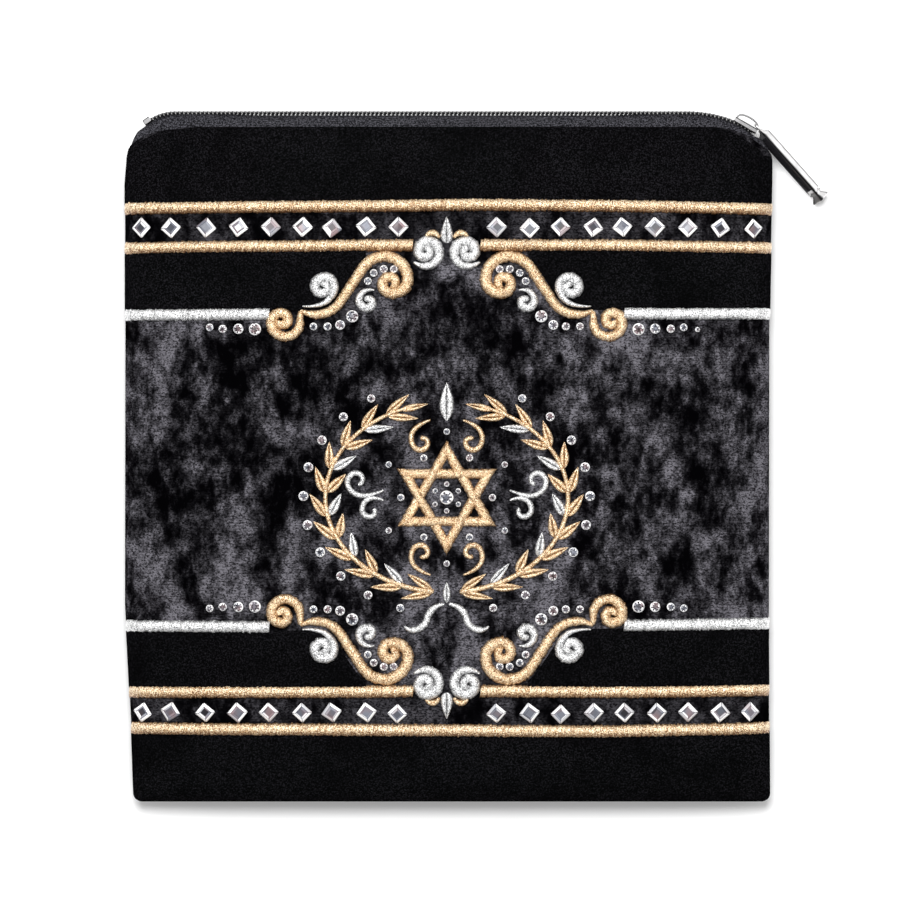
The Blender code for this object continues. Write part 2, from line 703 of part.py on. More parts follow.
def add_puller():
    """Square puller that hangs on the slider's bridge by a loop and droops to the surface."""
    spot, outward, along = ridge(SLIDER_ANGLE)
    leg = spot + along * (SLIDER_LENGTH / 2 - BRIDGE_END - BRIDGE_WALL / 2) + outward * LOOP_HEIGHT
    flat = np.array((math.cos(PULLER_HEADING), math.sin(PULLER_HEADING), 0.0))
    ahead = flat * math.cos(PULLER_DROOP) - UP * math.sin(PULLER_DROOP)
    beside = np.array((-flat[1], flat[0], 0.0))
    above = np.cross(ahead, beside)
    front, side = LOOP_HOLE[0] / 2, LOOP_HOLE[1] / 2
    corners = ((-1, -1), (1, -1), (1, 1), (-1, 1))
    points, faces = [], []
    for level in (-LOOP_WIRE / 2, LOOP_WIRE / 2):
        for wire in (LOOP_WIRE, 0.0):
            for t, w in corners:
                points.append(leg + ahead * t * (front + wire) + above * w * (side + wire) + beside * level)
    for j in range(4):
        k = (j + 1) % 4
        faces += [(j, k, 4 + k, 4 + j), (8 + k, 8 + j, 12 + j, 12 + k)]
        faces += [(j, 8 + j, 8 + k, k), (4 + k, 12 + k, 12 + j, 4 + j)]
    loop = add_solid("puller_loop", points, faces, NICKEL)
    half = PULLER_BAR * math.sqrt(0.5)
    wide = FINIAL_WIDTH * math.sqrt(0.5)
    start = front + LOOP_WIRE / 2
    shoulder = start + NECK_LENGTH
    tip = shoulder + PULLER_LENGTH
    # Half diagonal of the square section at distances along the puller
    sizes = (
        (start, NECK_SIZE),
        (shoulder, half),
        (tip, half),
        (tip + 0.1 * MM, half * 0.7),
        (tip + 1.0 * MM, half * 0.7),
        (tip + 1.6 * MM, wide * 0.8),
        (tip + FINIAL_LENGTH * 0.85, wide),
        (tip + FINIAL_LENGTH, wide * 0.8),
    )
    rings = []
    for distance, size in sizes:
        middle = leg + ahead * distance
        rings.append([middle + way * size for way in (beside, above, -beside, -above)])
    puller = add_loft("zip_puller", rings, NICKEL)
    join_to(puller, loop)


def main():
    for old in list(bpy.data.objects):
        bpy.data.objects.remove(old)
    add_panel("front_panel", front_point, PANEL_ROWS, PANEL_COLUMNS, CRUSHED)
    add_panel("back_panel", back_point, BACK_ROWS, BACK_COLUMNS, VELVET)
    add_tape("zip_tape_front", front_point, PANEL_COLUMNS)
    add_tape("zip_tape_back", back_point, BACK_COLUMNS)
    add_coil()
    add_end_stop()
    add_slider()
    add_puller()
    add_bands()
    add_bars()
    add_scrolls()
    add_finials()
    add_medallion()


main()
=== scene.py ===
"""Looks for a zipped velvet bag that lies on its back with its embroidered face up.

X runs across the bag, Y runs up its face towards the zip and Z is up, in metres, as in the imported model.
The face is a height over x and y, so each piece that is sewn to it is placed by x, y and a lift.
"""

import math

import bpy
import numpy as np
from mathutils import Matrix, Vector


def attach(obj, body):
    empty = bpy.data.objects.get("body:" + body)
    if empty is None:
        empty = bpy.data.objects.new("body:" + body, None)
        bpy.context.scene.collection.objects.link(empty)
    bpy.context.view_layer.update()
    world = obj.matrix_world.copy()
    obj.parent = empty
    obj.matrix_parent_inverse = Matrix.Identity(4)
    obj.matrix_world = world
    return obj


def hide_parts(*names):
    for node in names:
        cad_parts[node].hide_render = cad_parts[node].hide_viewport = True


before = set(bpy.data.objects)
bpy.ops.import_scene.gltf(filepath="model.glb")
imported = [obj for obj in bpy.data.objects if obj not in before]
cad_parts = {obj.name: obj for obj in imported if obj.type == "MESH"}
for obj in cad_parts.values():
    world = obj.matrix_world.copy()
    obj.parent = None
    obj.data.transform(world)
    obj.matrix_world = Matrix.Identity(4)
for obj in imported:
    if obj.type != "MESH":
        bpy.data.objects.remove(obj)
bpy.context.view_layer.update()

MM = 0.001
TURN = 2 * math.pi
SEED = 18

# The closed bag
BAG_WIDTH = 305 * MM
TOP = 163 * MM
SEAM_HEIGHT = 13 * MM
CROWN = 24 * MM
PANEL_THICKNESS = 2.2 * MM
CROWN_POWER = 3.2
FACE_GAP = 0.2 * MM
FACE_WAVE = 0.22 * MM
BACK_FLAT_SHARE = 0.78
CORNER_LEFT = (23.6 * MM, 23.6 * MM)
CORNER_RIGHT = (41.0 * MM, 25.0 * MM)
BOTTOM_CORNER = 4.0 * MM
# The sides draw in: height on the bag, left draw-in, right draw-in
DRAW_IN = MM * np.array((
    (-163, 4.2, 0.6), (-125, 2.9, 0.9), (-88, 1.0, 1.2), (-70, 0.0, 1.0),
    (60, 0.2, 0.8), (128, 0.0, -0.6), (138, 0.8, -0.7), (147, 1.3, -0.8), (156, 0.7, -0.8), (163, 0.3, -0.8),
))
# Where the velvet ends beside the zip: place across the face, height on the bag
VELVET_EDGE = np.array((
    (-1.0, 145.8), (-0.895, 148.6), (-0.76, 153.5), (-0.6, 155.3), (0.70, 155.3),
    (0.77, 154.0), (0.82, 151.2), (0.87, 146.8), (1.0, 141.8),
))
VELVET_TOP = 155.3 * MM

# Embroidery, about its own centre on the face
DESIGN_X = -0.6 * MM
DESIGN_Y = -6.2 * MM
CORD_WIDTH = 4.8 * MM
BAR_HEIGHTS = {
    "upper": (124.3 * MM, 105.5 * MM, 73.4 * MM),
    "lower": (-122.4 * MM, -104.1 * MM, -73.5 * MM),
}
LOWER_SHIFT = 1.5 * MM
# How far each straight cord bows from its height: at the left seam, half way to it, in the middle, half way to
# the right seam and at it
BAR_BOW = {
    "upper": ((-1.3, -0.8, 0.2, -0.3, -1.4), (-1.3, -0.6, 0.1, -0.3, -1.3), (-0.6, -0.3, 0.0, 0.0, 0.1)),
    "lower": ((0.3, 0.1, -0.3, -0.8, 0.6), (-0.7, -0.5, 0.0, -0.5, 0.1), (-0.1, -0.6, 0.0, 0.3, 0.7)),
}
BAND_THICKNESS = 1.0 * MM
BAND_LIFT = 0.4 * MM


# Shapes of the bag


def side_reach(side, y, inset=0.0):
    """Distance from the middle to one seam: half the bag's width, less the draw-in at that height and less
    the rounding of the corners, which is a quarter of an ellipse."""
    corner_x, corner_y = CORNER_LEFT if side < 0 else CORNER_RIGHT
    edge = TOP - inset
    up = np.clip((y - (edge - corner_y)) / corner_y, 0, 1)
    down = np.clip((-y - (edge - BOTTOM_CORNER)) / BOTTOM_CORNER, 0, 1)
    cut = corner_x * (1 - np.sqrt(1 - up**2)) + BOTTOM_CORNER * (1 - np.sqrt(1 - down**2))
    return BAG_WIDTH / 2 - inset - np.interp(y, DRAW_IN[:, 0], DRAW_IN[:, 1 if side < 0 else 2]) - cut


def half_width(x, y, inset=0.0):
    """Distance from the middle to the seam on the side of x."""
    return np.where(np.asarray(x) < 0, side_reach(-1, y, inset), side_reach(1, y, inset))


def across(a):
    """Share of the half width at place a: a sine, which crowds even steps towards the seams."""
    return np.sin(np.asarray(a) * math.pi / 2)


def place_of(x, y):
    """Place a of a point of the face, the arc sine of its share of the half width."""
    return np.arcsin(np.clip(x / half_width(x, y), -1, 1)) * 2 / math.pi


def fall(t, power):
    """1 in the middle, falling square to 0 at t = 1: the root of 1 - t to a power."""
    return np.sqrt(np.clip(1 - np.abs(t) ** power, 0, 1))


def smooth_step(t):
    """0 below 0 and 1 above 1, with an even slope between."""
    t = np.clip(t, 0, 1)
    return t**2 * (3 - 2 * t)


def waves(x, y, count, longest, shortest, seed):
    """Unevenness between about -1 and 1: a sum of plane waves of random direction, length and phase."""
    draw = np.random.default_rng(seed)
    total = np.zeros(np.broadcast(x, y).shape)
    for _ in range(count):
        heading, phase = draw.uniform(0, TURN, 2)
        length = draw.uniform(shortest, longest)
        total += np.sin((x * math.cos(heading) + y * math.sin(heading)) * TURN / length + phase)
    return total / math.sqrt(count)


# Soft creases of the face in millimetres: middle x and y, heading in degrees, half length, half width and
# depth. A ridge has a negative depth.
CREASES = (
    (-138, 132, -62, 26, 5.0, 0.55),
    (-120, 140, -35, 22, 6.0, 0.35),
    (133, 137, 55, 24, 5.5, 0.50),
    (-143, -96, 70, 28, 4.5, 0.60),
    (-128, -112, 20, 34, 7.0, 0.40),
    (141, -40, 86, 40, 5.0, 0.35),
    (-144, 20, 92, 48, 4.5, 0.35),
    (60, -148, 4, 60, 5.0, 0.40),
    (-70, -150, -3, 48, 4.5, -0.30),
    (20, 148, 2, 80, 5.5, 0.30),
    (92, 30, 68, 30, 9.0, 0.35),
    (-96, -38, 112, 34, 9.0, 0.35),
    (98, -66, 118, 26, 8.0, -0.30),
)


def crease_depth(x, y):
    """Sum of soft troughs, each a bell along and across its line."""
    total = np.zeros(np.broadcast(x, y).shape)
    for middle_x, middle_y, heading, length, width, depth in CREASES:
        turn = math.radians(heading)
        u = ((x / MM - middle_x) * math.cos(turn) + (y / MM - middle_y) * math.sin(turn)) / length
        v = ((y / MM - middle_y) * math.cos(turn) - (x / MM - middle_x) * math.sin(turn)) / width
        total += depth * MM * np.exp(-(u**2) - v**2)
    return total


def face_height(x, y):
    """Height of the face: the seam's height plus a pillow's crown, with long soft waves and creases that fade
    out at the seams."""
    share = x / half_width(x, y)
    crown = fall(share, CROWN_POWER) * fall(y / TOP, CROWN_POWER)
    uneven = waves(x, y, 7, 120 * MM, 60 * MM, SEED) * FACE_WAVE - crease_depth(x, y)
    return SEAM_HEIGHT + FACE_GAP + CROWN * crown + uneven * np.clip(crown * 2, 0, 1)


def on_face(x, y, lift=0.0):
    """Points that stand off the face by lift, square to it and less beside the seams. The direction comes from
    the slopes of the face's height."""
    x, y = np.broadcast_arrays(np.asarray(x, float), np.asarray(y, float))
    near_seam = np.clip((np.abs(x / half_width(x, y)) - 0.95) / 0.05, 0, 1)
    lift = np.asarray(lift) * (1 - 0.8 * near_seam)
    step = 0.25 * MM
    near_x = np.clip(x, -side_reach(-1, y) + step, side_reach(1, y) - step)
    near_y = np.clip(y, -TOP + step, TOP - step)
    slope_x = (face_height(near_x + step, near_y) - face_height(near_x - step, near_y)) / (2 * step)
    slope_y = (face_height(near_x, near_y + step) - face_height(near_x, near_y - step)) / (2 * step)
    normal = np.stack((-slope_x, -slope_y, np.ones_like(x)), -1)
    normal /= np.linalg.norm(normal, axis=-1, keepdims=True)
    return np.stack((x, y, face_height(x, y)), -1) + normal * lift[..., None]


def back_height(x, y, inset=0.0):
    """Height of the back: flat in the middle and rounded up to the seam."""
    share = x / half_width(x, y, inset)

    def bowl(t):
        return fall(np.clip((np.abs(t) - BACK_FLAT_SHARE) / (1 - BACK_FLAT_SHARE), 0, 1), 2)

    return SEAM_HEIGHT - (SEAM_HEIGHT - inset) * bowl(share) * bowl(y / (TOP - inset))


# Meshes


def grid_quads(rows, columns, wrap=False):
    """Quads of a grid of points, rows by columns. With wrap the last column joins the first."""
    i = np.arange(rows - 1)[:, None]
    j = np.arange(columns if wrap else columns - 1)[None, :]
    after = (j + 1) % columns
    quads = (i * columns + j, i * columns + after, (i + 1) * columns + after, (i + 1) * columns + j)
    return np.stack(np.broadcast_arrays(*quads), -1).reshape(-1, 4)


def shell(outer, inner):
    """Points and quads of a closed sheet between two grids of points."""
    rows, columns = outer.shape[:2]
    half = rows * columns
    top = grid_quads(rows, columns)
    rim = np.concatenate((
        np.arange(columns), np.arange(1, rows) * columns + columns - 1,
        (rows - 1) * columns + np.arange(columns - 2, -1, -1), np.arange(rows - 2, 0, -1) * columns,
    ))
    after = np.roll(rim, -1)
    edge = np.stack((rim, rim + half, after + half, after), -1)
    return np.concatenate((outer.reshape(-1, 3), inner.reshape(-1, 3))), [top, top[:, ::-1] + half, edge]


def tube(rings):
    """Points and faces of a closed body through rings of points, with flat ends."""
    count, size = rings.shape[:2]
    ends = np.array((np.arange(size)[::-1], (count - 1) * size + np.arange(size)))
    return rings.reshape(-1, 3), [grid_quads(count, size, True), ends]


def joined(parts):
    """One set of points and faces from several, with the faces' numbers moved on."""
    points, faces, start = [], [], 0
    for part_points, part_faces in parts:
        points.append(part_points)
        faces += [np.asarray(group) + start for group in part_faces]
        start += len(part_points)
    return np.concatenate(points), faces


def build(name, shape, finish, uv=None, tone=None, replaces=(), smooth=True):
    """A piece from its points and faces, with a UV for each point or a tone for each face."""
    points, faces = shape
    corners = np.concatenate([group.ravel() for group in faces]).astype(np.int32)
    sizes = np.concatenate([np.full(len(group), group.shape[1]) for group in faces])
    mesh = bpy.data.meshes.new(name)
    mesh.vertices.add(len(points))
    mesh.vertices.foreach_set("co", np.asarray(points, np.float32).ravel())
    mesh.loops.add(len(corners))
    mesh.loops.foreach_set("vertex_index", corners)
    mesh.polygons.add(len(sizes))
    mesh.polygons.foreach_set("loop_start", np.concatenate(([0], np.cumsum(sizes)[:-1])).astype(np.int32))
    mesh.update(calc_edges=True)
    if uv is not None:
        layer = mesh.uv_layers.new(name="thread")
        layer.data.foreach_set("uv", np.asarray(uv, np.float32)[corners].ravel())
    if tone is not None:
        mesh.attributes.new("tone", "FLOAT", "FACE").data.foreach_set("value", np.asarray(tone, np.float32))
    mesh.validate()
    if smooth:
        mesh.shade_smooth()
        mesh.set_sharp_from_angle(angle=math.radians(50))
    mesh.materials.append(finish)
    piece = bpy.data.objects.new(name, mesh)
    bpy.context.scene.collection.objects.link(piece)
    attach(piece, "root")
    if replaces:
        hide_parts(*replaces)
    return piece


def spans(grid):
    """Greatest width and length along a grid of points, and its area: half of each quad's crossed diagonals."""
    width = np.linalg.norm(np.diff(grid, axis=1), axis=-1).sum(1).max()
    length = np.linalg.norm(np.diff(grid, axis=0), axis=-1).sum(0).max()
    quads = np.cross(grid[1:, 1:] - grid[:-1, :-1], grid[1:, :-1] - grid[:-1, 1:])
    return width, length, np.linalg.norm(quads, axis=-1).sum() / 2


def declare_cloth(piece, grid):
    """Say that a piece is a sheet of cloth, cut to the size that its grid has when it is laid out."""
    width, length, area = spans(grid)
    if area < 0.5 * width * length:
        length = area / width
    print(f"cloth {piece.name}: {width / MM:.0f} x {length / MM:.0f} mm, {area * 1e4:.0f} cm2")


# Materials


class Value:
    """A socket of a material's nodes that takes part in sums as a number does."""

    def __init__(self, finish, socket):
        self.finish, self.socket = finish, socket

    def math(self, operation, *others):
        return self.finish.node("ShaderNodeMath", {"operation": operation}, dict(enumerate((self, *others))))

    def __add__(self, other):
        return self.math("ADD", other)

    def __mul__(self, other):
        return self.math("MULTIPLY", other)

    def __sub__(self, other):
        return self.math("SUBTRACT", other)

    def __rsub__(self, other):
        return self * -1.0 + other

    def __pow__(self, other):
        return self.math("POWER", other)

    __radd__, __rmul__ = __add__, __mul__

    def clamped(self):
        return self.math("MINIMUM", 1.0).math("MAXIMUM", 0.0)


class Finish:
    """A material: its one Principled shader and the nodes that feed it."""

    def __init__(self, name, **constants):
        self.material = bpy.data.materials.new(name)
        self.material.use_nodes = True
        self.tree = self.material.node_tree
        self.shader = self.tree.nodes["Principled BSDF"]
        for key, value in constants.items():
            self.shader.inputs[key.replace("_", " ")].default_value = value

    def node(self, kind, settings, values, output=0):
        """A node of that kind with its settings made first, then the values or links of its sockets."""
        made = self.tree.nodes.new(kind)
        for key, value in settings.items():
            if key == "stops":
                while len(made.color_ramp.elements) < len(value):
                    made.color_ramp.elements.new(0.5)
                for stop, (place, colour) in zip(made.color_ramp.elements, value):
                    stop.position, stop.color = place, (*colour, 1.0)
            else:
                setattr(made, key, value)
        for key, value in values.items():
            self.feed(made.inputs[key], value)
        return Value(self, made.outputs[output])

    def feed(self, socket, value):
        if isinstance(value, Value):
            self.tree.links.new(value.socket, socket)
        else:
            socket.default_value = value

    def set(self, key, value):
        self.feed(self.shader.inputs[key], value)

    def place(self, scale=(1.0, 1.0, 1.0), turn=0.0):
        """Object coordinates, turned about Z and then scaled."""
        coordinates = self.node("ShaderNodeTexCoord", {}, {}, "Object")
        rotation = (0.0, 0.0, math.radians(turn))
        turned = self.node("ShaderNodeMapping", {}, {0: coordinates, "Rotation": rotation})
        return self.node("ShaderNodeMapping", {}, {0: turned, "Scale": scale})

    def thread(self):
        """The two coordinates of the piece's own UV."""
        both = self.node("ShaderNodeUVMap", {"uv_map": "thread"}, {})
        return (
            self.node("ShaderNodeSeparateXYZ", {}, {0: both}, 0),
            self.node("ShaderNodeSeparateXYZ", {}, {0: both}, 1),
        )

    def noise(self, scale, detail=2.0, roughness=0.5, distortion=0.0, place=None):
        """Noise with so many spots to a metre, for each unit of the place's own scale."""
        values = {"Vector": place or self.place(), "Scale": scale, "Detail": detail, "Roughness": roughness,
                  "Distortion": distortion}
        return self.node("ShaderNodeTexNoise", {}, values)

    def random(self, value):
        """A random number between 0 and 1 for each whole number."""
        return self.node("ShaderNodeTexWhiteNoise", {"noise_dimensions": "1D"}, {"W": value.math("FLOOR")})

    def ramp(self, value, *stops):
        """A colour ramp with stops of a place and a colour."""
        return self.node("ShaderNodeValToRGB", {"stops": stops}, {0: value})

    def mix(self, share, low, high):
        """A mix of two colours, each a link or three numbers. The node's sockets 6 and 7 take them."""
        low, high = (v if isinstance(v, Value) else (*v, 1.0) for v in (low, high))
        return self.node("ShaderNodeMix", {"data_type": "RGBA"}, {0: share, 6: low, 7: high}, 2)

    def bump(self, height, depth, strength):
        """Fine relief: its height is a share of the depth."""
        values = {"Height": height, "Distance": depth, "Strength": strength}
        self.set("Normal", self.node("ShaderNodeBump", {}, values))


def crushed_velvet():
    """Charcoal panne velvet: the pile lies in streaky patches of grey-lilac sheen and near black, with fine
    knit rows across and a grain of single tufts."""
    made = Finish("crushed_velvet", Specular_IOR_Level=0.0)
    drift = made.noise(9.0, 1.0, place=made.place((1.0, 0.8, 1.0), 24))
    broad = made.noise(50.0, 2.0, 0.5, 0.2, made.place((1.0, 0.65, 1.0), -22))
    blots = made.noise(105.0, 3.5, 0.66, 0.15, made.place((1.0, 0.70, 1.0), 14))
    streaks = made.noise(230.0, 3.0, 0.66, 0.2, made.place((1.0, 0.50, 1.0), -6))
    pile = broad * 0.36 + blots * 0.40 + streaks * 0.26 + drift * 0.16
    tufts = made.noise(1000.0, 2.0, 0.8, place=made.place((1.0, 1.5, 1.0)))
    grain = made.noise(520.0, 1.5, 0.7, place=made.place((1.0, 1.4, 1.0)))
    row = made.node("ShaderNodeSeparateXYZ", {}, {0: made.place()}, 1)
    sway = made.noise(45.0, 1.0)
    rows = (row * (TURN / (1.38 * MM)) + sway * 6.0).math("SINE") * 0.5 + 0.5
    lay = made.ramp(pile, (0.50, (0.0,) * 3), (0.55, (0.03,) * 3), (0.60, (0.20,) * 3), (0.645, (0.52,) * 3),
                    (0.72, (1.0,) * 3))
    in_rows = (((row + 6.5 * MM).math("ABSOLUTE") - 96 * MM) * 150.0).clamped()
    lit = made.node("ShaderNodeRGBToBW", {}, {0: lay}) * (1.0 - in_rows * 0.7)
    rough_grain = ((tufts - 0.5) * 5.0 + (grain - 0.5) * 2.2 + 0.52).clamped() * (0.70 + rows * 0.30)
    glow = (lit * (rough_grain * 1.7 + 0.12)).clamped()
    made.set("Base Color", made.mix(glow, (0.0007, 0.0006, 0.0009), (0.130, 0.125, 0.142)))
    made.set("Roughness", 0.92 - glow * 0.3)
    made.bump(tufts * 0.7 + rows * 0.25 + pile * 1.0, 0.35 * MM, 0.5)
    return made.material


def black_velvet():
    """Smooth velvet: near black with a violet cast, a grain of single tufts and faint brushed places."""
    made = Finish("black_velvet", Specular_IOR_Level=0.0)
    tufts = made.noise(1300.0, 2.0, 0.8)
    brushed = made.noise(26.0, 3.0, 0.6, 0.5)
    shine = (((tufts - 0.5) * 11.0 + 0.10) * (brushed * 1.7 - 0.35)).clamped()
    made.set("Base Color", made.mix(shine, (0.0012, 0.0012, 0.0013), (0.0110, 0.0105, 0.0125)))
    made.set("Roughness", 0.95 - shine * 0.2)
    made.bump(tufts + brushed * 0.8, 0.3 * MM, 0.4)
    return made.material


def stitched(name, dark, middle, light, under=0.0):
    """Satin stitch in metallic thread: each thread has its own tone, and flecks of light and shade lie on it,
    with painted shade, deepest where the threads turn under at both edges. Under adds painted shade on the
    right half, that much darker, for light that falls from the other side."""
    made = Finish(name, Metallic=0.8, Coat_Weight=0.8, Coat_Roughness=0.32)
    along, sideways = made.thread()
    own = made.random(along)
    flecks = made.noise(1050.0, 2.5, 0.9)
    specks = made.noise(2100.0, 1.0, 0.5)
    rim = sideways.math("ABSOLUTE") ** 4.0
    # Painted shade: darker towards both edges, and on the right half by under
    tone = ((own - 0.5) * 0.25 + (flecks - 0.5) * 2.6 + (specks - 0.5) * 2.4 + 0.62 - rim * 0.55
            - ((sideways + 0.05) * 1.8).clamped() * under).clamped()
    made.set("Base Color", made.ramp(tone, (0.05, dark), (0.42, middle), (0.95, light)))
    made.set("Roughness", 0.50 - tone * 0.14)
    made.bump(flecks * 1.4 + specks * 0.6, 0.34 * MM, 0.9)
    return made.material


def woven_tape():
    """Woven zip tape: a fine herringbone and cords that run along the zip, and fuzz on both."""
    made = Finish("zip_tape", Specular_IOR_Level=0.05)
    along, up = made.thread()
    weft = (along * (TURN / 1.1) + up * (TURN / 1.3)).math("SINE")
    weft_back = (along * (TURN / 1.1) - up * (TURN / 1.3)).math("SINE")
    herring = weft.math("MAXIMUM", weft_back)
    cords = (up * (TURN / 1.45)).math("SINE") * 0.5 + 0.5
    fuzz = made.noise(1500.0, 2.0, 0.7)
    tone = (0.10 + cords * 0.30 + herring * 0.10 + (fuzz - 0.5) * 4.6).clamped()
    made.set("Base Color", made.mix(tone, (0.004, 0.004, 0.005), (0.080, 0.079, 0.092)))
    made.set("Roughness", 0.85 - tone * 0.2)
    made.bump(cords * 0.7 + herring * 0.5 + fuzz * 0.3, 0.25 * MM, 0.7)
    return made.material


def nylon():
    """Black nylon of the coil, a little glossy, with a faint worn tone on its turns, and a painted highlight
    on the crest of each, a pale glint where the UV says so."""
    made = Finish("zip_coil", Specular_IOR_Level=0.5, Coat_Weight=0.5, Coat_Roughness=0.12)
    glint, _ = made.thread()
    wear_and_glint = made.noise(420.0, 2.0, 0.6)
    nylon_tone = made.mix(wear_and_glint, (0.003, 0.003, 0.004), (0.02, 0.02, 0.023))
    # Painted highlight: a pale dash mixed into the colour where the UV's glint is, its strength varied by the
    # noise
    made.set("Base Color", made.mix((glint * (0.10 + wear_and_glint * 0.9)).clamped(), nylon_tone, (0.95, 0.94, 0.92)))
    made.set("Roughness", 0.22 + wear_and_glint * 0.25)
    return made.material


def nickel():
    """Polished nickel with soft clouds and fine handling scratches, with painted shade, near black, in the
    middle of its rounded edges. The UV gives how flat a place is and the painted lightness of the piece's
    metal, which stands in for how the light falls on it."""
    made = Finish("nickel", Metallic=1.0)
    flat, painted_lightness = made.thread()
    clouds = made.noise(160.0, 3.0, 0.6)
    scratches = made.noise(900.0, 2.0, 0.6, 0.3, made.place((1.0, 0.08, 1.0), 42))
    # Painted lightness: each piece's metal is lighter or darker as the UV says, for how the light falls on it
    metal = made.mix(painted_lightness * (0.55 + clouds * 0.9), (0.02, 0.02, 0.021), (0.80, 0.79, 0.79))
    # Painted shade: near black in the middle of each rounded edge
    made.set("Base Color", made.mix(flat.clamped() ** 1.5, (0.004, 0.004, 0.0045), metal))
    made.set("Roughness", 0.30 + clouds * 0.10 + (scratches - 0.5) * 0.15)
    made.bump(scratches * 0.5 + clouds * 0.4, 0.05 * MM, 0.25)
    return made.material


def enamel():
    """Black enamel with a faint orange-peel surface."""
    made = Finish("black_enamel", Coat_Roughness=0.08, Coat_IOR=1.5)
    peel = made.noise(700.0, 2.0, 0.5)
    made.set("Base Color", made.mix(peel, (0.004, 0.004, 0.005), (0.014, 0.013, 0.015)))
    made.set("Roughness", 0.16 + peel * 0.14)
    made.bump(peel, 0.04 * MM, 0.3)
    return made.material


def foiled_glass():
    """Cut glass with a foil back: each facet has its own painted tone, from near black to white, standing in
    for its flashes of light and its dark reflections, faintly tinted.
    """
    made = Finish("cut_glass", Specular_IOR_Level=0.06, Coat_Weight=0.12, Coat_Roughness=0.03)
    tone = made.node("ShaderNodeAttribute", {"attribute_name": "tone"}, {}, "Fac")
    tint = made.noise(150.0, 1.0)
    cool = made.ramp(tone, (0.0, (0.010, 0.010, 0.013)), (0.5, (0.20, 0.21, 0.25)), (0.9, (1.0, 1.0, 1.0)))
    warm = made.ramp(tone, (0.0, (0.016, 0.011, 0.011)), (0.5, (0.28, 0.20, 0.21)), (0.9, (1.0, 1.0, 1.0)))
    share = ((tint - 0.5) * 4.0 + 0.3).clamped()
    made.set("Base Color", made.mix(share, cool, warm))
    made.set("Roughness", 0.05 + tint * 0.05)
    return made.material


CRUSHED = crushed_velvet()
VELVET = black_velvet()
GOLD = stitched("gold_thread", (0.24, 0.10, 0.030), (0.66, 0.42, 0.20), (1.0, 0.84, 0.60))
# The straight cords' own copy of the gold thread, with painted shade on their lower flank
GOLD_BAR_SHADED = stitched(
    "gold_bar_thread_painted_shade", (0.20, 0.085, 0.028), (0.66, 0.42, 0.20), (1.0, 0.88, 0.66), under=0.42
)
SILVER = stitched("silver_thread", (0.16, 0.16, 0.165), (0.60, 0.60, 0.60), (1.0, 1.0, 1.0))
TAPE = woven_tape()
COIL = nylon()
NICKEL = nickel()
ENAMEL = enamel()
GLASS = foiled_glass()


# Velvet


def velvet_edge(a):
    """Height at which the velvet ends beside the zip, read from its table."""
    return np.interp(a, VELVET_EDGE[:, 0], VELVET_EDGE[:, 1]) * MM


def face_sheet():
    """Crushed velvet of the whole face: the pillow's surface with small crushed unevenness, and the same
    surface drawn in by the velvet's thickness as its inside."""
    a = np.linspace(-1, 1, 181)[None, :]
    share = (1 - np.cos(np.linspace(0, math.pi, 191)))[:, None] / 2
    y = -TOP + share * (velvet_edge(a) + TOP)
    x = across(a) * half_width(a + 0 * y, y)
    seam = np.clip(fall(across(a), CROWN_POWER) * fall(y / TOP, CROWN_POWER) * 1.5, 0, 1)
    crush = waves(x, y, 26, 22 * MM, 7 * MM, SEED + 1) * 0.09 * MM
    outer = on_face(x, y, crush * seam)
    inner = outer.copy()
    inner[..., 2] -= PANEL_THICKNESS * (0.1 + 0.9 * seam)
    inner[..., :2] *= 1 - 0.011 * (1 - 0.6 * seam[..., None])
    shape = shell(outer, inner)
    piece = build("crushed_face", shape, CRUSHED, replaces=["front_panel"])
    declare_cloth(piece, outer)


def back_sheet():
    """Smooth velvet of the back: flat where it lies, rounded up to the seam, with soft waves that keep off
    the surface below."""
    a = np.linspace(-1, 1, 121)[None, :]
    share = (1 - np.cos(np.linspace(0, math.pi, 121)))[:, None] / 2
    y = -TOP + share * (velvet_edge(a) + TOP)
    x = across(a) * half_width(a + 0 * y, y)
    lift = np.abs(waves(x, y, 12, 90 * MM, 30 * MM, SEED + 2)) * 0.35 * MM
    height = back_height(x, y)
    rise = lift * np.clip((SEAM_HEIGHT - height) / SEAM_HEIGHT * 3, 0, 1)
    outer = np.stack((x, y, np.clip(height + rise, 0.02 * MM, None)), -1)
    seam = np.clip((SEAM_HEIGHT - height) / SEAM_HEIGHT * 2, 0, 1)
    inner = outer.copy()
    inner[..., 2] += PANEL_THICKNESS * (0.1 + 0.9 * seam)
    inner[..., :2] *= 1 - 0.011 * (1 - 0.6 * seam[..., None])
    piece = build("back_velvet", shell(inner, outer), VELVET, replaces=["back_panel"])
    declare_cloth(piece, outer)


# A corner piece of velvet ends beside the scroll: distance from the middle, height from the silver cord
BESIDE_SCROLL = np.array(((38.0, 24.7), (42.4, 20.3), (52.4, 5.4), (56.4, 1.6), (61.4, 0.2), (200.0, 0.0)))
BAND_REACH = 0.985
EDGE_ROLL = 0.8 * MM
HEM_FOLD = 1.6 * MM
HEM_DROP = 3.0 * MM


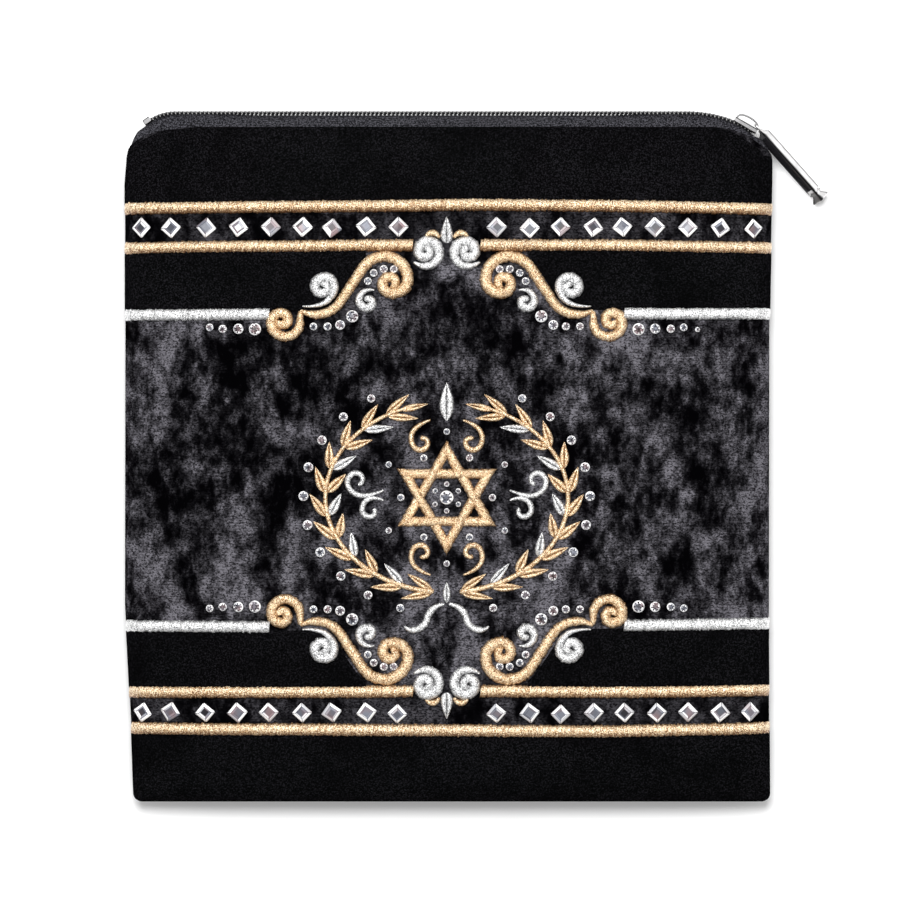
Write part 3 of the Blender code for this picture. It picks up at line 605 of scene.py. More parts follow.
def band(name, low, high, start, end, node, rows, hem=False):
    """Smooth velvet laid on the face between two heights that depend on x. Its top stands off by the velvet's
    thickness, and its edges roll down to the face. With a hem the upper edge folds down over the zip tape."""
    middle = (low(0.5 * (start + end)) + high(0.5 * (start + end))) / 2
    a = np.linspace(place_of(start, middle), place_of(end, middle), 150)[None, :]
    flat_x = across(a) * half_width(a, middle)
    t = np.linspace(0, 1, rows)[:, None]
    length = high(flat_x) - low(flat_x)
    y = low(flat_x) + t * length
    x = across(a) * half_width(a, y)
    edge = np.clip(np.minimum(t, 1 - t) * length / EDGE_ROLL, 0, 1)
    lift = BAND_LIFT + BAND_THICKNESS * (0.35 + 0.65 * np.sqrt(1 - (1 - edge) ** 2))
    if hem:
        fold = np.clip(1 - (1 - t) * length / HEM_FOLD, 0, 1)
        lift = lift - HEM_DROP * fold**2
    lift = lift + waves(x, y, 14, 40 * MM, 14 * MM, SEED + 3) * 0.05 * MM
    outer = on_face(x, y, lift)
    inner = on_face(x, y, np.minimum(BAND_LIFT - 0.3 * MM, lift - 0.3 * MM))
    piece = build(name, shell(outer, inner), VELVET, replaces=[node])
    declare_cloth(piece, outer)


def bar_height(level, index, x):
    """Height of a straight cord's middle at x, with its bow."""
    spots = np.linspace(-1, 1, 5) * BAG_WIDTH / 2
    return DESIGN_Y + BAR_HEIGHTS[level][index] + np.interp(x, spots, BAR_BOW[level][index]) * MM


def bar_edge(level, index, side, x):
    """Height of the velvet's edge under a straight cord, a little inside the cord's own edge."""
    return bar_height(level, index, x) + side * CORD_WIDTH * 0.3


def bands():
    """The six pieces of smooth velvet."""
    reach = BAG_WIDTH / 2 * across(BAND_REACH)
    band("velvet_by_the_zip", lambda x: bar_edge("upper", 0, 1, x),
         lambda x: velvet_edge(place_of(x, VELVET_TOP - 6 * MM)) + 0.4 * MM,
         -reach, reach, "velvet_top", 46, True)
    band("velvet_at_the_foot", lambda x: -TOP + 0.9 * MM + 0 * x, lambda x: bar_edge("lower", 0, -1, x),
         -reach, reach, "velvet_bottom", 50)
    for level, sign in (("upper", 1), ("lower", -1)):

        def by_scroll(x, level=level, sign=sign):
            beyond = np.interp(np.abs(x - DESIGN_X) / MM, BESIDE_SCROLL[:, 0], BESIDE_SCROLL[:, 1])
            return bar_edge(level, 2, sign, x) + sign * beyond * MM

        def by_bar(x, level=level, sign=sign):
            return bar_edge(level, 1, -sign, x)

        low, high = (by_scroll, by_bar) if sign > 0 else (by_bar, by_scroll)
        for side_name, side in (("left", -1), ("right", 1)):
            start, end = sorted((DESIGN_X + side * BESIDE_SCROLL[0, 0] * MM, side * reach))
            node = f"velvet_{level}_{side_name}"
            band(f"{node}_field", low, high, start, end, node, 34)


# Zip

# Angles on the rounded corners, in degrees: the coil's start, the end stop, the slider and the coil's end
COIL_START, STOP_AT, SLIDER_AT, COIL_END = 130, 126, 46.5, 39


def ridge(s):
    """Points of the ridge at distances s from the start of the left corner, with the directions outward and
    along: part of an ellipse, the straight top and part of another ellipse. Also the distances of the angles
    at which the coil, the end stop and the slider stand."""
    angle = np.concatenate((np.linspace(134, 90.0001, 500), np.linspace(89.9999, 30, 700))) * math.pi / 180
    left = angle > math.pi / 2
    corner_x = np.where(left, CORNER_LEFT[0], CORNER_RIGHT[0])
    corner_y = np.where(left, CORNER_LEFT[1], CORNER_RIGHT[1])
    y = TOP - corner_y * (1 - np.sin(angle))
    x = np.where(left, -1, 1) * half_width(np.where(left, -1, 1), y)
    outward = np.stack((np.cos(angle) / corner_x, np.sin(angle) / corner_y, 0 * angle), -1)
    outward /= np.linalg.norm(outward, axis=-1, keepdims=True)
    run = np.concatenate(([0.0], np.cumsum(np.hypot(np.diff(x), np.diff(y)))))
    spot = np.stack([np.interp(s, run, values) for values in (x, y, 0 * x + SEAM_HEIGHT)], -1)
    out = np.stack([np.interp(s, run, outward[:, k]) for k in range(3)], -1)
    out /= np.linalg.norm(out, axis=-1, keepdims=True)
    degrees = (COIL_START, STOP_AT, SLIDER_AT, COIL_END)
    at = {each: np.interp(-math.radians(each), -angle, run) for each in degrees}
    return spot, out, np.stack((out[..., 1], -out[..., 0], out[..., 2]), -1), at


RIDGE_AT = ridge(np.zeros(1))[3]
UP = np.array((0.0, 0.0, 1.0))
COIL_PITCH = 1.96 * MM
WIRE_RADIUS = 0.33 * MM
# The loop that a turn of the coil makes: half its reach and half its height, and where its middle lies
LOOP_REACH, LOOP_HEIGHT = 0.74 * MM, 1.52 * MM
LOOP_IN, LOOP_UP = 1.03 * MM, 1.32 * MM
CORE_IN, CORE_HEIGHT = 0.88 * MM, 1.6 * MM


def coil():
    """Two nylon coils that mesh along the ridge: each is a wire wound round a flattened loop, one turn a tooth.
    A dark cord fills them. The UV is 1 on the outer side of each turn's crest, for its painted highlight."""
    start, end = RIDGE_AT[COIL_START], RIDGE_AT[COIL_END]
    turns = int((end - start) / COIL_PITCH)
    t = np.linspace(0, turns, turns * 14 + 1)
    parts, painted_glints = [], []
    for half, phase in ((1, 0.0), (-1, 0.25)):
        spot, out, along, _ = ridge(start + (t + phase) * COIL_PITCH)
        angle = TURN * t * half
        reach = -LOOP_IN + LOOP_REACH * np.cos(angle)
        height = half * (LOOP_UP + LOOP_HEIGHT * np.sin(angle) * half)
        line = spot + out * reach[:, None] + UP * height[:, None]
        heading = np.gradient(line, axis=0)
        heading /= np.linalg.norm(heading, axis=-1, keepdims=True)
        side = np.cross(heading, along)
        side /= np.linalg.norm(side, axis=-1, keepdims=True)
        other = np.cross(heading, side)
        round_ = np.linspace(0, TURN, 6, endpoint=False)[None, :, None]
        outwards = side[:, None] * np.cos(round_) + other[:, None] * np.sin(round_)
        parts.append(tube(line[:, None] + WIRE_RADIUS * outwards))
        # Painted highlight: 1 where the wire faces up on the crest of each turn, about 1.2 mm in from the ridge
        crest = np.clip(1.8 - np.abs(reach / MM + 1.20) * 4.4, 0, 1) * (np.sin(angle) * half > 0)
        painted_glints.append((crest[:, None] * np.clip(outwards[..., 2] * half * 3 - 1.2, 0, 1)).ravel())
    spot, out, _, _ = ridge(np.linspace(start, end, 400))
    round_ = np.linspace(0, TURN, 8, endpoint=False)[None, :, None]
    core = spot[:, None] + out[:, None] * (-CORE_IN + LOOP_REACH * np.cos(round_))
    core = core + UP * CORE_HEIGHT * np.sin(round_)
    parts.append(tube(core))
    glint = np.concatenate(painted_glints + [np.zeros(core.shape[0] * core.shape[1])])
    build("coil_teeth", joined(parts), COIL, uv=np.stack((glint, 0 * glint), -1), replaces=["zip_coil"])


def tape(name, node, front):
    """Woven tape from under the velvet's edge up to the coil on the ridge, on the bag's own roundness drawn in
    a little. Its UV is millimetres along the zip and across it."""
    a = np.linspace(-1, 1, 240)[None, :]
    t = np.linspace(0, 1, 16)[:, None]
    low = velvet_edge(a) - 6 * MM
    grids = []
    for thick in (0.0, 1.0 * MM):
        bend = smooth_step((np.abs(a) - 0.48) / 0.25)
        inset = 2.9 - (0.9 + 0.9 * bend) * smooth_step((t - 0.2) / 0.4)
        guess = low + t**0.7 * (TOP - 1.8 * MM - low)
        coil_end = np.where(a < 0, 153.5, 150.0) * MM
        bare = smooth_step((np.abs(a) - 0.78) / 0.12) * smooth_step((coil_end - guess) / (3 * MM) + 0.6)
        bare = bare * smooth_step(t / 0.14)
        drawn = (inset * (1 - bare) + 0.35 * bare) * MM + thick
        y = low + t**0.7 * (TOP - drawn - low)
        share = across(a)
        x = share * half_width(a + 0 * y, y, drawn)
        if front:
            crown = fall(share, CROWN_POWER) * fall(y / (TOP - drawn), CROWN_POWER)
            z = SEAM_HEIGHT + FACE_GAP + (CROWN - drawn) * crown
        else:
            z = back_height(x, y, drawn)
        grids.append(np.stack((x, y, z), -1))
    outer, inner = grids
    along, up = (np.linalg.norm(np.diff(outer, axis=axis), axis=-1).cumsum(axis) for axis in (1, 0))
    along, up = np.pad(along, ((0, 0), (1, 0))), np.pad(up, ((1, 0), (0, 0)))
    uv = np.stack((along, up - up[-1:]), -1).reshape(-1, 2) / MM
    shape = shell(outer, inner) if front else shell(inner, outer)
    piece = build(name, shape, TAPE, uv=np.concatenate((uv, uv)), replaces=[node])
    declare_cloth(piece, outer)


def rounded_ring(half_u, half_v, radius, count=6, margin=0.2):
    """Ring of a rounded rectangle about 0, 0: a quarter circle at each corner, and a point on the flat at each
    end of it, where a margin is given."""
    turn = np.linspace(0, math.pi / 2, count)
    ring = []
    for k, (su, sv) in enumerate(((1, 1), (-1, 1), (-1, -1), (1, -1))):
        angle = turn + k * math.pi / 2
        arc = np.stack((su * (half_u - radius) + radius * np.cos(angle),
                        sv * (half_v - radius) + radius * np.sin(angle)), -1)
        if margin:
            flats = margin * np.array((half_v - radius, half_u - radius))[::1 if k % 2 == 0 else -1]
            ways = [np.array((-math.sin(a), math.cos(a))) for a in (angle[0], angle[-1])]
            arc = np.concatenate(([arc[0] - ways[0] * flats[0]], arc, [arc[-1] + ways[1] * flats[1]]))
        ring.append(arc)
    return np.concatenate(ring)


def edge_uv(parts, painted_lightness):
    """UV for bodies of rounded rings of 32 points: 1 on the flats and less on each rounded edge, for painted
    shade there. Other bodies are all flat. The second value is the painted lightness of the metal."""
    ring = np.tile((1.0, 0.3, 0.1, 0.0, 0.0, 0.1, 0.3, 1.0), 4)
    sizes = [faces[1].shape[1] if len(faces) > 1 else 8 for _, faces in parts]
    across_ring = [np.resize(ring, len(points)) if size == 32 else np.ones(len(points))
                   for (points, _), size in zip(parts, sizes)]
    flat = np.concatenate(across_ring)
    return np.stack((flat, np.full_like(flat, painted_lightness)), -1)


def swept(spots, u_ways, v_ways, rings):
    """A body whose rings lie at spots, in the plane of two directions. One direction or one ring may serve for
    all the spots."""
    u_ways, v_ways = (np.atleast_2d(each)[:, None] for each in (u_ways, v_ways))
    return tube(spots[:, None] + u_ways * rings[..., :1] + v_ways * rings[..., 1:])


COIL_HALF = 3.2 * MM
METAL_GAP = 0.3 * MM


def clamp_body(at, length, wall, depth):
    """Points of a metal channel round the coil: a bar over its outside and a bar down each side, each with
    rounded edges and ends that taper."""
    spot, out, along, _ = ridge(RIDGE_AT[at])
    half = COIL_HALF + METAL_GAP
    t = np.linspace(-1, 1, 13)
    spots = spot + along * (t * length / 2)[:, None]
    shrink = 1 - 0.10 * np.abs(t) ** 6
    side_middle, side_half = (METAL_GAP + wall - depth) / 2, (METAL_GAP + wall + depth) / 2
    parts = []
    for middle_n, middle_w, half_n, half_w in (
        (METAL_GAP + wall / 2, 0.0, wall / 2, half + wall),
        (side_middle, half + wall / 2, side_half, wall / 2),
        (side_middle, -half - wall / 2, side_half, wall / 2),
    ):
        ring = rounded_ring(half_n, half_w, wall * 0.46)
        rings = ring[None] * shrink[:, None, None] + np.array((middle_n, middle_w))
        parts.append(swept(spots, out, UP, rings))
    return parts, spot, out, along


def slider():
    """Nickel slider: the channel that wraps the coil, and a bridge that arches over it as a flattened half
    ring. With it goes the end stop, a channel alone. Gives the spot on the bridge where the puller hangs."""
    length = 12.0 * MM
    parts, spot, out, along = clamp_body(SLIDER_AT, length, 0.9 * MM, 1.2 * MM)
    floor, gap, wall = 1.2 * MM, 2.6 * MM, 0.8 * MM
    reach = length / 2 - 0.2 * MM
    turn = np.linspace(math.pi, 0, 41)
    arch = np.sin(turn).clip(0, 1) ** 0.6
    rise = floor - METAL_GAP + (gap + wall / 2 + METAL_GAP) * arch
    middle = np.stack(((reach - wall / 2) * np.cos(turn), rise), -1)
    heading = np.gradient(middle, axis=0)
    heading /= np.linalg.norm(heading, axis=-1, keepdims=True)
    square = np.stack((-heading[:, 1], heading[:, 0]), -1)
    spots = spot + along * middle[:, :1] + out * middle[:, 1:]
    ways = along * square[:, :1] + out * square[:, 1:]
    ring = rounded_ring(wall / 2, 1.5 * MM, 0.18 * MM)
    parts.append(swept(spots, ways, UP, ring))
    # Painted lightness: the slider's metal is painted dark, and so is the end stop's below
    uv = edge_uv(parts, 0.10)
    build("slider_body", joined(parts), NICKEL, uv=uv, replaces=["zip_slider"])
    stop, _, _, _ = clamp_body(STOP_AT, 3.6 * MM, 0.7 * MM, 1.7 * MM)
    uv = edge_uv(stop, 0.085)
    build("end_stop", joined(stop), NICKEL, uv=uv, replaces=["zip_end_stop"])
    return spot + along * (length / 2 - 0.2 * MM - 0.4 * MM) + out * 2.0 * MM


def puller(leg):
    """Square puller that stands on its edge: a wire loop round the bridge, a neck, a long bar with rounded
    edges and a flared end. Black enamel fills a shallow field on the bar's lower left face."""
    heading, droop = math.radians(-48), math.radians(10.3)
    flat = np.array((math.cos(heading), math.sin(heading), 0.0))
    ahead = flat * math.cos(droop) - UP * math.sin(droop)
    beside = np.array((-flat[1], flat[0], 0.0))
    above = np.cross(ahead, beside)
    turn = np.linspace(0, TURN, 33)[:-1]
    front, side, wire = 1.4 * MM + 0.4 * MM, 2.1 * MM + 0.4 * MM, 0.42 * MM
    loop_t = np.sign(np.cos(turn)) * np.abs(np.cos(turn)) ** 0.6 * front
    loop_w = np.sign(np.sin(turn)) * np.abs(np.sin(turn)) ** 0.6 * side
    line = leg + ahead * loop_t[:, None] + above * loop_w[:, None]
    way = np.roll(line, -1, 0) - np.roll(line, 1, 0)
    way /= np.linalg.norm(way, axis=-1, keepdims=True)
    outside = np.cross(way, beside)
    round_ = np.linspace(0, TURN, 8, endpoint=False)[None, :, None]
    rings = line[:, None] + wire * (outside[:, None] * np.cos(round_) + beside * np.sin(round_))
    points = rings.reshape(-1, 3)
    quads = grid_quads(33, 8, True) % len(points)
    parts = [(points, [quads])]
    # Half side of the square section at distances along the puller, in millimetres
    half, wide = 4.9 / 2, 6.8 / 2
    start = front / MM - 0.1
    shoulder = start + 2.7
    tip = shoulder + 36.0
    sizes = MM * np.array((
        (start, 0.85), (start + 1.2, 0.85), (start + 1.7, 1.3), (shoulder, half * 0.92),
        (shoulder + 0.35, half), (tip - 0.3, half), (tip, half * 0.93), (tip + 0.1, half * 0.68),
        (tip + 0.9, half * 0.68), (tip + 1.1, half * 0.95), (tip + 1.6, half * 0.95), (tip + 1.8, half * 0.75),
        (tip + 2.6, half * 0.75), (tip + 4.7, wide), (tip + 5.3, wide), (tip + 5.6, wide * 0.8),
    ))
    corner = math.sqrt(0.5)
    right, left = (beside + above) * corner, (beside - above) * corner
    rings = np.stack([rounded_ring(size, size, size * 0.26, margin=0.42) for size in sizes[:, 1]])
    parts.append(swept(leg + ahead * sizes[:, :1], right, left, rings))
    # Painted lightness: the puller's metal is painted light
    uv = edge_uv(parts, 0.85)
    build("puller_bar", joined(parts), NICKEL, uv=uv, replaces=["zip_puller"])
    field = np.linspace(shoulder + 1.2, shoulder + 34.6, 9)[:, None] * MM
    spots = leg + ahead * field - left * (half - 0.02) * MM
    ring = rounded_ring(0.10 * MM, half * MM * 0.82, 0.05 * MM, 3, 0)
    build("puller_enamel", swept(spots, -left, np.cross(ahead, -left), ring), ENAMEL)


# Satin stitch

THREAD = 0.8 * MM
ROW = THREAD / 4
COLUMNS = 11
DOME = np.sin(np.linspace(-1, 1, COLUMNS) * math.pi / 2)
CORD_RISE = 2.4 * MM


def satin(left, right, tall, run, lift, seed):
    """A raised band of satin stitch between two edge lines. Across it the height is a flattened half circle,
    and along it each thread is a small round rib with a height of its own. The UV is the thread's number
    along, and the place across."""
    draw = np.random.default_rng(seed)
    numbers = run / THREAD
    whole = np.floor(numbers).astype(int)
    own = draw.normal(0, 1, whole.max() + 2)[whole]
    rib = np.abs(np.sin(math.pi * numbers)) ** 0.7 - 0.6
    dome = (1 - DOME**2) ** 0.5
    share = np.minimum(1, tall / CORD_RISE)
    height = tall[:, None] * dome + (rib * 0.22 + own * 0.08)[:, None] * MM * share[:, None] * dome**0.5
    ragged = draw.normal(0, 0.055, (2, whole.max() + 2))[:, whole] * share
    uneven = np.where(DOME[None] < 0, ragged[0][:, None], ragged[1][:, None])
    mix = (1 + DOME[None] * (1 + uneven))[..., None] / 2
    flat = left[:, None] * (1 - mix) + right[:, None] * mix
    points = on_face(flat[..., 0], flat[..., 1], lift - 0.25 * MM + height)
    uv = np.stack(np.broadcast_arrays(numbers[:, None], DOME[None]), -1)
    return tube(points), uv.reshape(-1, 2)


def arc_line(start, heading, moves):
    """Path of arcs and straight runs at fine steps: distance, x, y and heading. A move is a radius and the
    degrees turned to the left, or a length and None."""
    step = 0.1 * MM
    bends, first = [], math.radians(heading)
    for size, turn in moves:
        length = size * MM if turn is None else size * MM * abs(math.radians(turn))
        count = max(2, int(round(length / step)))
        bends.append(np.tile((length / count, math.radians(turn or 0) / count), (count, 1)))
    bends = np.concatenate(bends)
    angle = first + np.cumsum(bends[:, 1]) - bends[:, 1] / 2
    x = start[0] * MM + np.concatenate(([0.0], np.cumsum(bends[:, 0] * np.cos(angle))))
    y = start[1] * MM + np.concatenate(([0.0], np.cumsum(bends[:, 0] * np.sin(angle))))
    run = np.concatenate(([0.0], np.cumsum(bends[:, 0])))
    return run, x, y, np.concatenate(([first], first + np.cumsum(bends[:, 1])))


def cord(line, widths, lift, seed, slant=0.2, round_ends=True):
    """A cord of satin stitch along a path, whose width is read from a table of share and width. The threads
    slant by that share of the half width. Without round ends it is cut straight at both."""
    run, x, y, heading = line
    length = run[-1]
    s = np.arange(0, length + ROW / 2, ROW)
    half = np.interp(s / length, widths[:, 0], widths[:, 1]) * MM / 2
    near = np.minimum(s, length - s) if round_ends else np.full_like(s, length)
    cap = np.sqrt(1 - (1 - np.clip((near + 0.02 * MM) / (half * 0.9), 0, 1)) ** 2)
    tall = CORD_RISE * np.clip(0.3 + 0.7 * half * 2 / CORD_WIDTH, 0, 1.08) * cap
    half = half * (0.15 + 0.85 * cap)

    def edge(side):
        at = np.clip(s + side * slant * half, 0, length)
        turn = np.interp(at, run, heading)
        normal = np.stack((-np.sin(turn), np.cos(turn)), -1)
        return np.stack((np.interp(at, run, x), np.interp(at, run, y)), -1) + side * normal * half[:, None]

    return satin(edge(1), edge(-1), tall, s, lift, seed)


def mirrored(line, flip_x, flip_y, middle):
    """The path mirrored about the embroidery's centre, then moved to its place."""
    run, x, y, heading = line
    way = np.stack((np.cos(heading) * flip_x, np.sin(heading) * flip_y), -1)
    turned = np.unwrap(np.arctan2(way[:, 1], way[:, 0]))
    return run, DESIGN_X + x * flip_x, middle + y * flip_y, turned


def stitched_piece(name, cords, finish, nodes):
    """One piece from several bands of stitches."""
    shapes, uvs = zip(*cords)
    build(name, joined(shapes), finish, uv=np.concatenate(uvs), replaces=nodes)


# How far stitches stand off the crushed velvet, and off it where smooth velvet lies between
ON_PANEL, ON_BAND = 0.4 * MM, 1.5 * MM
# Scrolls of the upper left quarter: start, heading, moves, widths as share and width, thread, lift
SCROLLS = {
    "scroll": (
        (-68.8, 75.0), -32,
        ((14.0, 89), (18.0, None), (12.8, -57), (10.8, -90), (6.2, -60), (9.0, -30), (4.2, -90), (3.4, -90),
         (2.4, -90), (1.5, -110)),
        ((0.0, 1.6), (0.08, 4.4), (0.4, 5.4), (0.7, 5.6), (0.9, 5.2), (1.0, 4.4)), "gold", ON_PANEL,
    ),
    "hook": (
        (-68.6, 74.6), -93,
        ((5.6, None), (7.0, -87), (6.6, -90), (4.6, -90), (3.2, -90), (2.3, -90), (1.5, -110)),
        ((0.0, 2.4), (0.15, 4.4), (0.5, 5.0), (0.8, 5.2), (1.0, 4.6)), "gold", ON_PANEL,
    ),
    "tail": (
        (-67.8, 76.7), -6,
        ((22.0, 22), (9.0, 74), (4.2, 90), (4.9, 70), (3.2, 110), (2.2, 110), (1.4, 120)),
        ((0.0, 0.7), (0.19, 2.2), (0.4, 4.2), (0.7, 5.2), (1.0, 4.6)), "silver", ON_BAND,
    ),
    "curl": (
        (-33.8, 84.2), 168,
        ((9.0, 20), (4.9, 82), (3.6, 90), (2.4, 100), (1.6, 150)),
        ((0.0, 0.8), (0.2, 2.6), (0.5, 4.3), (0.8, 4.5), (1.0, 4.0)), "silver", ON_PANEL,
    ),
    "volute": (
        (-15.6, 97.6), -38,
        ((9.5, 38), (6.2, 90), (5.4, 90), (4.4, 90), (2.9, 90), (2.1, 110), (1.4, 110)),
        ((0.0, 1.2), (0.14, 3.6), (0.38, 5.0), (0.7, 5.3), (1.0, 4.6)), "silver", ON_PANEL,
    ),
    "leaf": (
        (-3.6, 108.6), 105, ((3.6, 70), (3.0, 80)), ((0.0, 1.4), (0.45, 3.4), (1.0, 1.2)), "gold", ON_PANEL,
    ),
}
QUARTERS = (("upper_left", 1, 1), ("upper_right", -1, 1), ("lower_left", 1, -1), ("lower_right", -1, -1))


def scrolls():
    """The scrolls of the four quarters, gold and silver."""
    made = {"gold": ([], []), "silver": ([], [])}
    for number, (name, (start, heading, moves, widths, thread, lift)) in enumerate(SCROLLS.items()):
        line = arc_line(start, heading, moves)
        for turn, (quarter, flip_x, flip_y) in enumerate(QUARTERS):
            middle = DESIGN_Y + (LOWER_SHIFT if flip_y < 0 else 0.0)
            path = mirrored(line, flip_x, flip_y, middle)
            seed = SEED + 40 + number * 4 + turn
            made[thread][0].append(cord(path, np.array(widths), lift, seed, 0.2 * flip_x * flip_y))
            made[thread][1].append(f"{name}_{quarter}")
    for thread, finish in (("gold", GOLD), ("silver", SILVER)):
        cords, nodes = made[thread]
        stitched_piece(f"{thread}_scrolls", cords, finish, nodes)


BAR_WIDTH = 5.8


def straight(level, index, start, end, seed):
    """A cord across the face that bows a little, with a slight waver of its own."""
    run = np.linspace(0, abs(end - start), 400)
    x = np.linspace(start, end, 400)
    waver = waves(x, 0 * x + index, 4, 150 * MM, 60 * MM, seed) * 0.10 * MM
    line = (run, x, bar_height(level, index, x) + waver, np.zeros(400))
    return cord(line, np.array(((0, BAR_WIDTH), (1, BAR_WIDTH))), ON_PANEL, seed, round_ends=False)


def bars():
    """The straight gold and silver cords, upper and lower."""
    gold, gold_nodes, silver, silver_nodes = [], [], [], []
    for number, (level, (outer, inner, plain)) in enumerate(BAR_HEIGHTS.items()):
        reach = across(BAND_REACH)
        y = DESIGN_Y + outer
        ends = [side * float(side_reach(side, y)) * reach for side in (-1, 1)]
        gold.append(straight(level, 0, *ends, SEED + 10 + number))
        gold_nodes.append(f"outer_bar_{level}")
        for turn, (side_name, side) in enumerate((("left", -1), ("right", 1))):
            for group, nodes, name, index, height, stop in (
                (gold, gold_nodes, "inner_bar", 1, inner, 15.6 * MM),
                (silver, silver_nodes, "silver_bar", 2, plain, 83.0 * MM),
            ):
                y = DESIGN_Y + height
                ends = sorted((side * float(side_reach(side, y)) * reach, DESIGN_X + side * stop))
                group.append(straight(level, index, *ends, SEED + 20 + number * 4 + turn))
                nodes.append(f"{name}_{level}_{side_name}")
    stitched_piece("gold_bars", gold, GOLD_BAR_SHADED, gold_nodes)
    stitched_piece("silver_bars", silver, SILVER, silver_nodes)


def petal(base, tip, wide, seed, rise, fullest=0.45):
    """A pointed leaf of satin stitch from base to tip: two bands of slanted threads that meet at its vein, each
    as wide as a sine that is fullest at a share of the length."""
    base, tip = np.asarray(base, float), np.asarray(tip, float)
    length = np.linalg.norm(tip - base)
    way = (tip - base) / length
    normal = np.array((-way[1], way[0]))
    s = np.arange(0, length + ROW / 2, ROW)
    t = s / length
    half = wide * np.sin(math.pi * t ** (math.log(0.5) / math.log(fullest))).clip(0, 1) ** 0.85 + 0.02 * MM
    tall = rise * np.clip(half / wide, 0.08, 1)
    vein = base + way * s[:, None]
    back = np.clip(s - 0.5 * half, 0, length)[:, None]
    bands = []
    for side in (1, -1):
        rim = base + way * back + side * normal * half[:, None]
        left, right = (rim, vein) if side > 0 else (vein, rim)
        bands.append(satin(left, right, tall, s, ON_PANEL, seed + (side > 0)))
    return bands


# The medallion in the middle of the face
MEDALLION_Y = DESIGN_Y - 13.2 * MM
WREATH = (57.0 * MM, 44.5 * MM)
WREATH_START, WREATH_END = -84.0, 74.0
LEAVES = 11


def wreath_spot(s, side, off=0.0):
    """Point beside the wreath's stem after s leaves: an ellipse about the medallion's middle, off outwards."""
    angle = np.radians(WREATH_START + (WREATH_END - WREATH_START) * np.asarray(s) / LEAVES)
    return np.stack((DESIGN_X + side * (WREATH[0] + off) * np.cos(angle),
                     MEDALLION_Y + (WREATH[1] + off) * np.sin(angle)), -1)


def wreath():
    """Two leafy sprays: a thin stem on the ellipse and a pair of leaves at each step that lean forward."""
    for number, (side_name, side) in enumerate((("left", -1), ("right", 1))):
        s = np.linspace(0, LEAVES, 600)
        spots = wreath_spot(s, side)
        run = np.concatenate(([0.0], np.cumsum(np.linalg.norm(np.diff(spots, axis=0), axis=-1))))
        heading = np.unwrap(np.arctan2(*np.gradient(spots, axis=0).T[::-1]))
        widths = np.array(((0, 2.6), (0.9, 2.0), (1, 1.2)))
        stem = cord((run, spots[:, 0], spots[:, 1], heading), widths, ON_PANEL, SEED + 70 + number)
        gold, silver = [stem], []
        for i in range(LEAVES):
            size = 0.78 + 0.22 * math.sin(math.pi * (i + 0.5) / LEAVES)
            for off, group in ((1, gold), (-1, silver if i % 2 else gold)):
                base = wreath_spot(i + 0.08, side, off * 0.9 * MM)
                tip = wreath_spot(i + (0.98 if off > 0 else 1.06), side, off * 7.4 * MM * size)
                group += petal(base, tip, 2.35 * MM * size, SEED + 80 + number * 60 + i * 4 + off, 1.5 * MM)
        gold += petal(wreath_spot(LEAVES - 0.45, side), wreath_spot(LEAVES + 0.5, side), 1.7 * MM,
                      SEED + 210 + number * 2, 1.5 * MM)
        stitched_piece(f"gold_spray_{side_name}", gold, GOLD, [f"spray_{side_name}"])
        stitched_piece(f"silver_leaves_{side_name}", silver, SILVER, [])


# Distance of the band's outer and inner corners from the star's middle
STAR_OUTER, STAR_INNER = 27.0 * MM, 17.8 * MM


def star():
    """Six-pointed star of two woven triangles. Each side is a band between an outer and an inner edge line with
    mitred corners. It rises at a third of its length, where it crosses over, and sinks at two thirds."""
    parts = []
    for number, turn in enumerate((90, -90)):
        for k in range(3):
            ways = [math.radians(turn + 120 * (k + step)) for step in (0, 1)]
            corners = [np.array((math.cos(w), math.sin(w))) for w in ways]
            middle = np.array((DESIGN_X, MEDALLION_Y))

            def line(radius, t, corners=corners, middle=middle):
                return middle + radius * (corners[0] * (1 - t[:, None]) + corners[1] * t[:, None])

            length = (STAR_OUTER + STAR_INNER) / 2 * math.sqrt(3)
            s = np.arange(0, length + ROW / 2, ROW)
            t = s / s[-1]
            weave = np.exp(-(((t - 1 / 3) / 0.085) ** 2)) * 0.55 - np.exp(-(((t - 2 / 3) / 0.075) ** 2)) * 1.0
            tall = CORD_RISE * 0.92 + weave * MM
            outer, inner = line(STAR_OUTER, t)[::-1], line(STAR_INNER, t)[::-1]
            parts.append(satin(outer, inner, tall[::-1], s, ON_PANEL, SEED + 200 + number * 3 + k))
    stitched_piece("woven_star", parts, GOLD, ["star"])


# Small silver curls in the gaps beside the star: start, heading and moves
STAR_CURLS = (
    ((-29.5, -1.5), 150, ((9.0, 40), (5.0, 90), (3.4, 100), (2.2, 120))),
    ((-29.5, 3.5), 205, ((30.0, -18), (7.5, -70), (4.6, -90), (3.2, -110), (2.2, -100))),
)
STAR_CURL_WIDTHS = np.array(((0, 1.0), (0.3, 2.6), (0.7, 3.0), (1, 2.2)))
# The gold curl between the star and the wreath's lower left, mirrored to the other three places
GOLD_CURL = ((-7.5, -36.4), 165, ((18.0, -25), (6.5, -90), (3.6, -130), (2.2, -140)))
GOLD_CURL_WIDTHS = np.array(((0, 1.0), (0.25, 2.4), (0.7, 2.9), (1, 2.2)))


